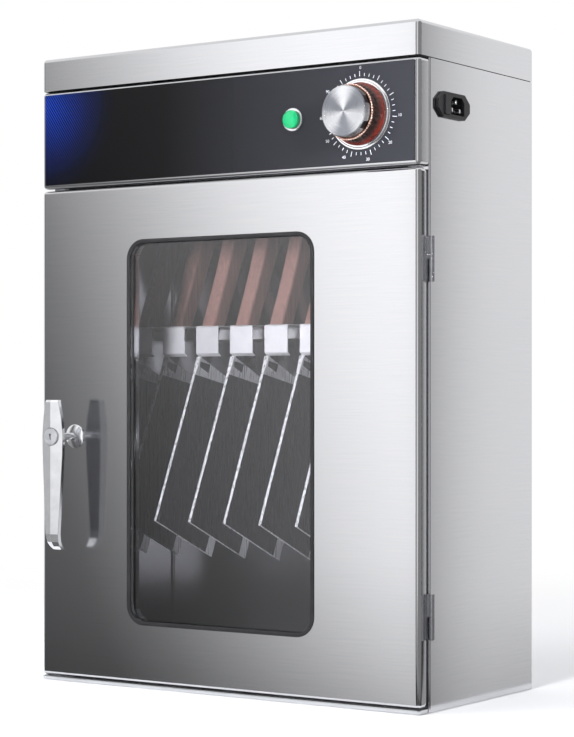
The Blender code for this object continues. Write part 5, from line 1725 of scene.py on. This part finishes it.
@dataclass
class Door(Assembly):
    """Folded door skin with its window seal, glass and inner pan."""

    bend: float = 0.0040
    steps: int = 8
    window: Spot = (-0.0021, 0.2544, 0.0200)
    window_size: Point = (0.2240, 0.3834)
    hold: float = 0.0015
    lip: float = 0.0043
    proud: float = 0.0012

    def window_outline(self, inset: float) -> list[Point]:
        """Gives the window's outline set in by a distance.

        Args:
            inset: Distance from the seal's outer edge.

        Returns:
            The outline, counter-clockwise.
        """
        width, height = self.window_size
        x, z, radius = self.window
        return rounded_rectangle((x, z), width - 2 * inset, height - 2 * inset, radius - inset, self.steps)

    def skin(self) -> bmesh.types.BMesh:
        """Builds the folded skin round the window, with the notches of the hinges and the hole of the handle.

        Returns:
            The mesh.
        """
        low, high = box_of("door_skin")
        front, rear = low.y, high.y
        bend = (self.bend, front + self.bend)
        section = arc(bend, self.bend - SHEET, 270, 180, self.steps) + [(SHEET, rear), (0, rear)]
        section += arc(bend, self.bend, 180, 270, self.steps)
        middle = ((low.x + high.x) / 2, (low.z + high.z) / 2)
        rings = [[(x, front + SHEET, z) for x, z in self.window_outline(self.hold)]]
        for inset, y in section:
            corner = max(self.bend - inset, 0.0004)
            size = (high.x - low.x - 2 * inset, high.z - low.z - 2 * inset)
            outline = rounded_rectangle(middle, *size, corner, self.steps)
            rings.append([(across, y, up) for across, up in outline])
        rings.append([(x, front, z) for x, z in self.window_outline(self.hold)])
        tools = [prism(arc((-0.181, 0.2496), 0.0063, 0, 360, 32)[:-1], front - 0.002, front + 0.004, Plane.FRONT)]
        for name in ("upper", "lower"):
            leaf_low, leaf_high = box_of(f"hinge_{name}_door_leaf")
            start = (high.x - SHEET - 0.002, leaf_low.y - SEAT, leaf_low.z - SEAT)
            pin_high = box_of(f"hinge_{name}_body_leaf")[0].z
            start = (start[0], start[1], min(start[2], pin_high - SEAT))
            tools.append(block(start, (high.x + 0.002, rear + 0.002, leaf_high.z + SEAT)))
        return cut(loft(rings, around=True), tools)

    def seal(self) -> bmesh.types.BMesh:
        """Builds the rounded rubber seal with its two grooves.

        Returns:
            The mesh.
        """
        low, high = box_of("window_gasket")
        front, rear = low.y, high.y
        skin_front = front + self.proud
        glass_low, glass_high = box_of("window_glass")
        hold, web = self.hold + SEAT, self.hold + SEAT + 0.0010
        section = [(0.0, skin_front - SEAT), (0.0, front + 0.0006), (0.0003, front + 0.0002), (0.0009, front)]
        section += [(self.lip - 0.0012, front + 0.0002), (self.lip - 0.0004, front + 0.0007)]
        section += [(self.lip, glass_low.y - SEAT), (web, glass_low.y - SEAT), (web, glass_high.y + SEAT)]
        section += [(self.lip, glass_high.y + SEAT), (self.lip, rear), (0.0, rear), (0.0, skin_front + SHEET + SEAT)]
        section += [(hold, skin_front + SHEET + SEAT), (hold, skin_front - SEAT)]
        rings = [[(x, y, z) for x, z in self.window_outline(inset)] for inset, y in section]
        return loft(rings, around=True)

    def build(self) -> None:
        """Builds the door's pieces."""
        skin = lay_grain(self.skin(), Grain.LEVEL)
        self.add("door_sheet", skin, BRUSHED, Body.DOOR, ["door_skin"])
        self.add("seal_moulded", self.seal(), RUBBER, Body.DOOR, ["window_gasket"])
        self.dress("window_glass", GLASS)
        self.dress("door_inner_pan", ROLLED)


@dataclass
class Handle(Assembly):
    """T-grip with its lock plug, stem and rosette."""

    centre: Spot = (-0.181, -0.110, 0.2496)
    standoff: float = 0.0390
    thickness: float = 0.0110
    half_width: float = 0.0132
    above: float = 0.0368
    below: float = 0.1134
    curl: float = 0.0096
    shoulder_share: float = 0.30
    back_share: float = 0.74
    plug_radius: float = 0.0084
    plug_proud: float = 0.0006
    plug_depth: float = 0.0045
    key_depth: float = 0.0030
    # Depth of the black block that paints the shade in the key slot
    shade_block_depth: float = 0.0020
    pocket_radius: float = 0.0090
    pocket_depth: float = 0.0048
    stem_radius: float = 0.0036
    stem_entry: float = 0.0040
    square: float = 0.0025
    square_length: float = 0.0088
    sleeve_radius: float = 0.0060
    sides: int = 64
    sections: tuple[Spot, ...] = (
        (1.00, 0.60, 0.10),
        (0.94, 0.64, 0.00),
        (0.54, 0.86, 0.00),
        (0.22, 0.96, 0.00),
        (0.00, 1.00, 0.00),
        (-0.16, 0.97, 0.00),
        (-0.38, 0.86, 0.00),
        (-0.62, 0.74, 0.00),
        (-0.86, 0.61, 0.00),
        (-0.93, 0.55, 0.20),
        (-0.97, 0.48, 0.55),
        (-1.00, 0.40, 1.00),
    )

    def ring(self, height_share: float, width_share: float, curl_share: float) -> list[Spot]:
        """Gives a five-sided section of the grip.

        Args:
            height_share: Height as a share of the grip's reach.
            width_share: Half width as a share of the widest.
            curl_share: Set-back as a share of the curl.

        Returns:
            The section's corners.
        """
        reach = self.above if height_share > 0 else self.below
        half = self.half_width * width_share
        depth = self.thickness * (1 + width_share) / 2
        ridge = -self.standoff + self.curl * curl_share
        shoulder = ridge + self.thickness * self.shoulder_share * width_share
        back = half * self.back_share
        corners = [(0, ridge), (half, shoulder), (back, ridge + depth), (-back, ridge + depth), (-half, shoulder)]
        x, y, z = self.centre
        return [(x + across, y + out, z + reach * height_share) for across, out in corners]

    def grip(self) -> bmesh.types.BMesh:
        """Builds the grip with the pocket of the plug and the bore of the stem.

        Returns:
            The mesh.
        """
        shape = loft([self.ring(*shares) for shares in self.sections])
        x, y, z = self.centre
        face = y - self.standoff
        pocket = arc((x, z), self.pocket_radius, 0, 360, self.sides)[:-1]
        bore = arc((x, z), self.stem_radius + SEAT, 0, 360, self.sides)[:-1]
        rear = face + self.thickness
        tools = [prism(pocket, face - OVERRUN, face + self.pocket_depth, Plane.FRONT)]
        tools.append(prism(bore, rear - self.stem_entry, rear + OVERRUN, Plane.FRONT))
        return cut(shape, tools)

    def plug(self) -> bmesh.types.BMesh:
        """Turns the lock plug and cuts its key slot.

        Returns:
            The mesh.
        """
        face = self.standoff + self.plug_proud
        floor = self.standoff - self.plug_depth
        points = [(0, face), (self.plug_radius - 0.0026, face), (self.plug_radius - 0.0020, face - 0.0003)]
        points += [(self.plug_radius - 0.0008, face - 0.0003), (self.plug_radius, face - 0.0010)]
        points += [(self.plug_radius, floor), (0, floor)]
        y = self.centre[1] - face
        return cut(lathe(points, self.centre, self.sides), [self.keyway(0.0, y - OVERRUN / 2, y + self.key_depth)])

    def keyway(self, inset: float, front: float, rear: float) -> bmesh.types.BMesh:
        """Builds the body of the key slot, wide at its upper end.

        Args:
            inset: Distance inside the slot's walls.
            front: Level of its front.
            rear: Level of its floor.

        Returns:
            The mesh.
        """
        x, _, z = self.centre
        narrow, wide, high, low = 0.0008 - inset, 0.0013 - inset, 0.0031 - inset, 0.0010 + inset
        outline = [(x - wide, z + low), (x - narrow, z + low), (x - narrow, z - high), (x + narrow, z - high)]
        outline += [(x + narrow, z + low), (x + wide, z + low), (x + wide, z + high), (x - wide, z + high)]
        return prism(outline, front, rear, Plane.FRONT)

    def rosette(self) -> bmesh.types.BMesh:
        """Turns the rosette with its sleeve through the door.

        Returns:
            The mesh.
        """
        bore, sleeve = self.stem_radius + SEAT, self.sleeve_radius
        end = self.centre[1] - box_of("handle_rosette")[1].y
        points = [(bore, 0.0036), (0.0056, 0.0036), (0.0075, 0.0030), (0.0112, 0.0014), (0.0118, 0.0009)]
        points += [(0.0118, SEAT), (sleeve, SEAT), (sleeve, end), (bore, end)]
        return lathe(points, self.centre, self.sides, ring=True)

    def stem(self) -> bmesh.types.BMesh:
        """Turns the stem from the grip to the cam, with its square end.

        Returns:
            The mesh.
        """
        low, high = box_of("handle_shaft")
        face, end = self.centre[1] - low.y, self.centre[1] - high.y
        radius = self.stem_radius
        square_end = end + self.square_length
        points = [(0, face), (radius, face), (radius, square_end), (0, square_end)]
        round_part = lathe(points, self.centre, self.sides)
        x, y, z = self.centre
        half = self.square
        square = block((x - half, y - square_end - OVERRUN / 2, z - half), (x + half, high.y, z + half))
        return joined([round_part, square])

    def build(self) -> None:
        """Builds the handle's pieces."""
        self.add("grip_plated", self.grip(), CHROME, Body.HANDLE, ["handle_grip"], edge=0.0005, crease=math.radians(12))
        self.add("plug_turned", self.plug(), SATIN_CHROME, Body.LOCK, ["lock_plug"])
        face = self.centre[1] - self.standoff
        # A black block in the key slot: painted shade of the slot's depth
        self.add("keyway_shade_block", self.keyway(SEAT / 3, face, face + self.shade_block_depth), NYLON, Body.LOCK)
        self.add("stem_turned", self.stem(), CHROME, Body.HANDLE, ["handle_shaft"])
        self.add("rosette_turned", self.rosette(), CHROME, Body.DOOR, ["handle_rosette"])
        self.refine("rosette_nut", DARK_STEEL, Body.DOOR)
        self.refine("latch_cam", DARK_STEEL, Body.HANDLE)
        self.refine("cam_nut", DARK_STEEL, Body.HANDLE)


@dataclass
class Hinges(Assembly):
    """The two lift-off hinges on the right edge."""

    def build(self) -> None:
        """Builds the hinges' pieces."""
        for name in ("upper", "lower"):
            self.refine(f"hinge_{name}_door_leaf", HINGE_STEEL, Body.DOOR, edge=0.00015)
            self.refine(f"hinge_{name}_body_leaf", HINGE_STEEL, Body.CABINET, edge=0.00015)
            self.refine(f"hinge_{name}_pin", CHROME, Body.CABINET, edge=0.0002)


# Inside the chamber


@dataclass
class Rack(Assembly):
    """Folded comb that the cleavers hang in."""

    bend: float = 0.0020
    curl_slope: float = 0.6
    slots: int = 10
    slot_width: float = 0.0149
    slot_reach: float = 0.0640
    first_slot: float = -0.1935
    slot_pitch: float = 0.0430
    rear_lip: float = 0.0120
    curl_back: float = 0.0050
    curl_down: float = 0.0030
    steps: int = 8

    def sheet(self) -> bmesh.types.BMesh:
        """Builds the folded sheet before its slots are cut.

        Returns:
            The mesh.
        """
        low, high = box_of("rack_comb")
        top, front, rear = high.z, low.y, high.y
        lip = low.z + self.curl_down
        runs = []
        for inset in (0.0, SHEET):
            run = [(rear - inset, top - self.rear_lip)]
            run += arc((rear - self.bend, top - self.bend), self.bend - inset, 0, 90, self.steps)
            run += arc((front + self.bend, top - self.bend), self.bend - inset, 90, 180, self.steps)
            run.append((front + inset, lip + inset * self.curl_slope))
            run.append((front + self.curl_back, lip - self.curl_down + inset))
            runs.append(run)
        return prism(runs[0] + runs[1][::-1], low.x, high.x, Plane.SIDE)

    def slot_tools(self) -> bpy.types.Mesh:
        """Grows the row of slot cutters.

        Returns:
            One mesh with a cutter at each slot.
        """
        low, high = box_of("rack_comb")
        half = self.slot_width / 2
        end = low.y + self.slot_reach - half
        outline = [(-half, low.y - 0.002), (half, low.y - 0.002)] + arc((0, end), half, 0, 180, 16)
        base = prism(outline, low.z - 0.002, high.z + 0.002, Plane.PLAN)
        rule = ShapeTree(
            "rack slots",
            {"Count": self.slots, "First": (self.first_slot, 0.0, 0.0), "Pitch": (self.slot_pitch, 0.0, 0.0)},
        )
        line = rule.node(
            "GeometryNodeMeshLine",
            {"Count": rule.size("Count"), "Start Location": rule.size("First"), "Offset": rule.size("Pitch")},
        )
        row = rule.node(
            "GeometryNodeInstanceOnPoints", {"Points": line.outputs["Mesh"], "Instance": rule.size("Geometry")}
        )
        return rule.grow(row.outputs["Instances"], ROLLED, base)

    def build(self) -> None:
        """Builds the comb and its brackets."""
        comb = cut(self.sheet(), [self.slot_tools()])
        self.add("comb_folded", comb, SATIN, Body.CABINET, ["rack_comb"])
        for name in ("left", "right"):
            self.refine(f"rack_bracket_{name}", ROLLED, Body.CABINET, edge=0.0002)


@dataclass
class Cleavers(Assembly):
    """Seven cleavers that hang in the comb's slots."""

    count: int = 7
    flat_limit: float = 0.9995

    def blade(self, node: str) -> bmesh.types.BMesh:
        """Marks the faces off a blade's flats for the painted highlight.

        Args:
            node: Name of its node.

        Returns:
            The mesh.
        """
        shape = merged(node)
        layer = shape.faces.layers.float.new(HIGHLIGHT_MAP)
        for face in shape.faces:
            # Faces that turn away from the flats get the painted highlight
            face[layer] = float(abs(face.normal.x) < self.flat_limit)
        return shape

    def build(self) -> None:
        """Builds the cleavers."""
        for i in range(1, self.count + 1):
            node = f"knife_{i}_blade"
            self.add(f"{node}_finished", self.blade(node), BLADE, f"knife_{i}", [node], edge=0.00015)
            self.refine(f"knife_{i}_handle", WOOD, f"knife_{i}", edge=0.0008)


@dataclass
class LampGear(Assembly):
    """Germicidal lamp with its holders, ballast and terminal block."""

    def build(self) -> None:
        """Builds the lamp and its gear."""
        self.refine("uv_lamp_tube", TUBE_GLASS, Body.CABINET, edge=0.0010)
        for node in ("lamp_holder_left", "lamp_holder_right", "ballast", "terminal_block"):
            self.refine(node, CERAMIC, Body.CABINET, edge=0.0008)


@dataclass
class MainsInlet(Assembly):
    """Fused mains inlet on the right side."""

    def build(self) -> None:
        """Builds the inlet's pieces."""
        self.refine("inlet_housing", NYLON, Body.CABINET, edge=0.0005)
        self.refine("fuse_drawer", NYLON, Body.FUSE_TRAY, edge=0.0004)
        self.refine("fuse_link", TUBE_GLASS, Body.FUSE_TRAY, edge=0.0004)
        for name in ("earth", "left", "right"):
            self.refine(f"inlet_pin_{name}", CHROME, Body.CABINET, edge=0.0005)


# Studio


@dataclass(frozen=True)
class GradedCard:
    """A glowing card that only mirror-like surfaces see. It runs out over the floor and rises in a cove, and its tones
    fan out from a point behind the sheet that mirrors it, as if it were one upright card."""

    name: str
    fan: Spot
    distance: float
    start: float
    height: float
    limits: Point
    across: Sequence[Point]
    upward: Sequence[Point]
    shade: Sequence[Point]
    lean: float
    sideways: bool = False
    cove: float = 0.12
    columns: int = 48
    arc_steps: int = 12

    def grid(self) -> bmesh.types.BMesh:
        """Builds the card with a map of its fan.

        Returns:
            The mesh.
        """
        near, middle, level = self.fan
        foot = self.distance + 0.01 - self.cove
        profile = [(self.start + (foot - self.start) * i / self.arc_steps, 0.0) for i in range(self.arc_steps)]
        profile += arc((foot, self.cove), self.cove, 270, 360, self.arc_steps)
        rise = self.height - self.cove
        profile += [(foot + self.cove, self.cove + rise * i / 8) for i in range(1, 9)]
        shape = bmesh.new()
        layer = shape.loops.layers.uv.new("fan")
        rows, fans = [], {}
        for depth, z in profile:
            share = (self.distance - near) / (depth - near)
            row = []
            for i in range(self.columns + 1):
                across = self.limits[0] + (self.limits[1] - self.limits[0]) * i / self.columns
                reach = middle + (across - middle) / share
                vert = shape.verts.new((depth, -reach, z) if self.sideways else (reach, -depth, z))
                fans[vert] = (across, level + (z - level) * share)
                row.append(vert)
            rows.append(row)
        for low, high in zip(rows, rows[1:]):
            for i in range(self.columns):
                face = shape.faces.new((low[i], low[i + 1], high[i + 1], high[i]))
                for loop in face.loops:
                    loop[layer].uv = fans[loop.vert]
        return shape

    def material(self) -> bpy.types.Material:
        """Makes the glow, whose strength is a tone across times a tone upward times the shade of the dark strip.

        Returns:
            The material.
        """
        made = bpy.data.materials.new(self.name)
        made.use_nodes = True
        tree = made.node_tree
        tree.nodes.clear()
        fan = add_node(tree, "ShaderNodeUVMap", uv_map="fan")
        parts = add_node(tree, "ShaderNodeSeparateXYZ", {"Vector": fan.outputs["UV"]})
        leant = add_node(
            tree,
            "ShaderNodeMath",
            {0: parts.outputs["Y"], 1: self.lean, 2: parts.outputs["X"]},
            operation="MULTIPLY_ADD",
        )
        tones = []
        sides = (
            (leant.outputs["Value"], self.across),
            (parts.outputs["Y"], self.upward),
            (parts.outputs["X"], self.shade),
        )
        for value, stops in sides:
            first, last = stops[0][0], stops[-1][0]
            spread = add_node(tree, "ShaderNodeMapRange", {"Value": value, "From Min": first, "From Max": last})
            ramp = [((at - first) / (last - first), (tone / 2,) * 3 + (1,)) for at, tone in stops]
            tones.append(colour_ramp(tree, spread.outputs["Result"], ramp))
        tone = add_node(tree, "ShaderNodeVectorMath", {0: tones[0], 1: tones[1]}, operation="MULTIPLY")
        shaded = add_node(
            tree, "ShaderNodeVectorMath", {0: tone.outputs["Vector"], 1: tones[2]}, operation="MULTIPLY"
        )
        glow = add_node(tree, "ShaderNodeEmission", {"Color": shaded.outputs["Vector"], "Strength": 8.0})
        add_node(tree, "ShaderNodeOutputMaterial", {"Surface": glow.outputs["Emission"]})
        return made

    def build(self) -> None:
        """Stands the card in the studio."""
        item = to_object(self.name, self.grid())
        item.data.materials.append(self.material())
        item.visible_camera = False
        item.visible_diffuse = False
        item.visible_shadow = False
        item.visible_transmission = False


FRONT_CARD = GradedCard(
    "studio_front_card",
    fan=(-1.5944, 1.2452, 0.2944),
    distance=0.61,
    start=0.130,
    height=0.95,
    limits=(-1.80, 0.34),
    across=(
        (-1.80, 0.55),
        (-0.95, 0.50),
        (-0.82, 0.25),
        (-0.70, 0.13),
        (-0.56, 0.16),
        (-0.45, 0.31),
        (-0.34, 0.56),
        (-0.235, 0.85),
        (-0.125, 1.17),
        (-0.015, 1.39),
        (0.09, 1.50),
        (0.70, 1.50),
    ),
    upward=((-0.10, 0.50), (0.0, 0.76), (0.10, 0.94), (0.35, 0.975), (0.80, 1.0)),
    shade=((-1.80, 1.0), (-0.059, 1.0), (-0.055, 0.015), (0.09, 0.015), (0.12, 0.40), (0.34, 0.40)),
    lean=0.4,
)
SIDE_CARD = GradedCard(
    "studio_side_card",
    fan=(-0.7952, 1.8144, 0.2944),
    distance=0.80,
    start=0.245,
    height=1.10,
    limits=(-1.30, 0.90),
    across=(
        (-1.30, 1.05),
        (-1.055, 1.02),
        (-0.997, 0.96),
        (-0.94, 0.84),
        (-0.888, 0.70),
        (-0.85, 0.58),
        (-0.840, 0.72),
        (0.20, 0.72),
    ),
    upward=((-0.16, 0.60), (0.0, 0.886), (0.15, 0.945), (0.60, 1.0), (1.10, 1.0)),
    shade=((-1.30, 1.0), (-0.829, 1.0), (-0.825, 0.03), (-0.71, 0.03), (-0.66, 0.42), (0.90, 0.42)),
    lean=0.0,
    sideways=True,
)


@dataclass
class Studio:
    """Plain floor, soft light, two graded cards for the steel to mirror, and the camera."""

    background: str = "ffffff"
    floor_colour: str = "e2e3e6"
    fill: float = 0.62
    key_power: float = 46.0
    window_power: float = 10.5
    side_power: float = 2.4
    camera_place: Spot = (1.2452, -1.8144, 0.2944)
    camera_heading: float = math.radians(34.377)
    lens: float = 106.47
    rise: float = 0.0318

    def seen_directly(self, tree: bpy.types.NodeTree) -> bpy.types.NodeSocket:
        """Gives 1 for camera, glossy and transmission rays and 0 for others.

        Args:
            tree: Tree that gets the nodes.

        Returns:
            The factor's socket.
        """
        path = add_node(tree, "ShaderNodeLightPath")
        first = add_node(
            tree,
            "ShaderNodeMath",
            {0: path.outputs["Is Camera Ray"], 1: path.outputs["Is Glossy Ray"]},
            operation="MAXIMUM",
        )
        second = add_node(
            tree,
            "ShaderNodeMath",
            {0: first.outputs["Value"], 1: path.outputs["Is Transmission Ray"]},
            operation="MAXIMUM",
        )
        return second.outputs["Value"]

    def world(self) -> None:
        """Builds the white surroundings."""
        made = bpy.data.worlds.new("studio")
        bpy.context.scene.world = made
        made.use_nodes = True
        tree = made.node_tree
        tree.nodes.clear()
        seen = add_node(tree, "ShaderNodeBackground", {"Color": linear(self.background), "Strength": 1.0})
        light = add_node(tree, "ShaderNodeBackground", {"Color": linear(self.background), "Strength": self.fill})
        both = add_node(
            tree,
            "ShaderNodeMixShader",
            {"Fac": self.seen_directly(tree), 1: light.outputs["Background"], 2: seen.outputs["Background"]},
        )
        add_node(tree, "ShaderNodeOutputWorld", {"Surface": both.outputs["Shader"]})

    def floor(self) -> None:
        """Builds the floor, which keeps the cabinet's shadow and fades into the white background."""
        outline = arc((0, 0), 6.0, 0, 360, 96)[:-1]
        item = to_object("studio_floor", prism(outline, -0.0120, -0.0006, Plane.PLAN))
        made = bpy.data.materials.new("studio floor")
        made.use_nodes = True
        tree = made.node_tree
        tree.nodes.clear()
        matt = add_node(tree, "ShaderNodeBsdfDiffuse", {"Color": linear(self.floor_colour)})
        glow = add_node(tree, "ShaderNodeEmission", {"Color": linear(self.background), "Strength": 0.11})
        lit = add_node(tree, "ShaderNodeAddShader", {0: matt.outputs["BSDF"], 1: glow.outputs["Emission"]})
        white = add_node(tree, "ShaderNodeEmission", {"Color": linear(self.background), "Strength": 1.0})
        place = add_node(tree, "ShaderNodeTexCoord")
        reach = add_node(tree, "ShaderNodeVectorMath", {0: place.outputs["Object"]}, operation="LENGTH")
        fade = add_node(
            tree,
            "ShaderNodeMapRange",
            {"Value": reach.outputs["Value"], "From Min": 0.45, "From Max": 1.50},
            interpolation_type="SMOOTHSTEP",
        )
        faded = add_node(
            tree,
            "ShaderNodeMixShader",
            {"Fac": fade.outputs["Result"], 1: lit.outputs["Shader"], 2: white.outputs["Emission"]},
        )
        both = add_node(
            tree,
            "ShaderNodeMixShader",
            {"Fac": self.seen_directly(tree), 1: matt.outputs["BSDF"], 2: faded.outputs["Shader"]},
        )
        add_node(tree, "ShaderNodeOutputMaterial", {"Surface": both.outputs["Shader"]})
        item.data.materials.append(made)

    def lamps(self) -> None:
        """Hangs the soft lamps."""
        # Place, target, power, width and spread in degrees
        rig = {
            "key": ((-1.5, -1.7, 2.3), (0, 0, 0.25), self.key_power, 2.2, 180),
            "top": ((0.3, 0.5, 2.6), (0, 0, 0.25), self.key_power * 0.45, 2.4, 180),
            "window": ((0.35, -1.9, 0.4), (0, 0, 0.25), self.window_power, 0.4, 60),
            "side": ((1.9, -1.0, 0.9), (0.15, -0.12, 0.56), self.side_power, 0.5, 24),
        }
        for name, (spot, target, power, size, spread) in rig.items():
            light = bpy.data.lights.new(f"studio {name}", "AREA")
            light.shape = "DISK"
            light.size = size
            light.energy = power
            light.spread = math.radians(spread)
            item = bpy.data.objects.new(f"studio_{name}", light)
            item.location = spot
            aim = Vector(target) - Vector(spot)
            item.rotation_euler = aim.to_track_quat("-Z", "Y").to_euler()
            item.visible_glossy = False
            bpy.context.scene.collection.objects.link(item)

    def camera(self) -> None:
        """Sets the camera at the photograph's place."""
        made = bpy.data.cameras.new("studio camera")
        made.lens = self.lens
        made.sensor_width = 36.0
        made.shift_y = self.rise
        item = bpy.data.objects.new("studio_camera", made)
        item.location = self.camera_place
        item.rotation_euler = (math.radians(90), 0, self.camera_heading)
        bpy.context.scene.collection.objects.link(item)
        bpy.context.scene.camera = item

    def build(self) -> None:
        """Builds the studio."""
        self.world()
        self.floor()
        FRONT_CARD.build()
        SIDE_CARD.build()
        self.lamps()
        self.camera()
        bpy.context.scene.view_settings.view_transform = "Standard"
        LOG.info("studio: floor, cards, lamps and camera")


def main() -> None:
    """Builds the cabinet's looks round the frame."""
    logging.basicConfig(level=logging.INFO, format="%(name)s: %(message)s")
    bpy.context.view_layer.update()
    assemblies = (
        CaseShell(),
        ControlPanel(),
        TimerKnob(),
        PilotLamp(),
        Door(),
        Handle(),
        Hinges(),
        Rack(),
        Cleavers(),
        LampGear(),
        MainsInlet(),
    )
    for assembly in assemblies:
        assembly.build()
    Studio().build()


if __name__ == "__main__":
    main()
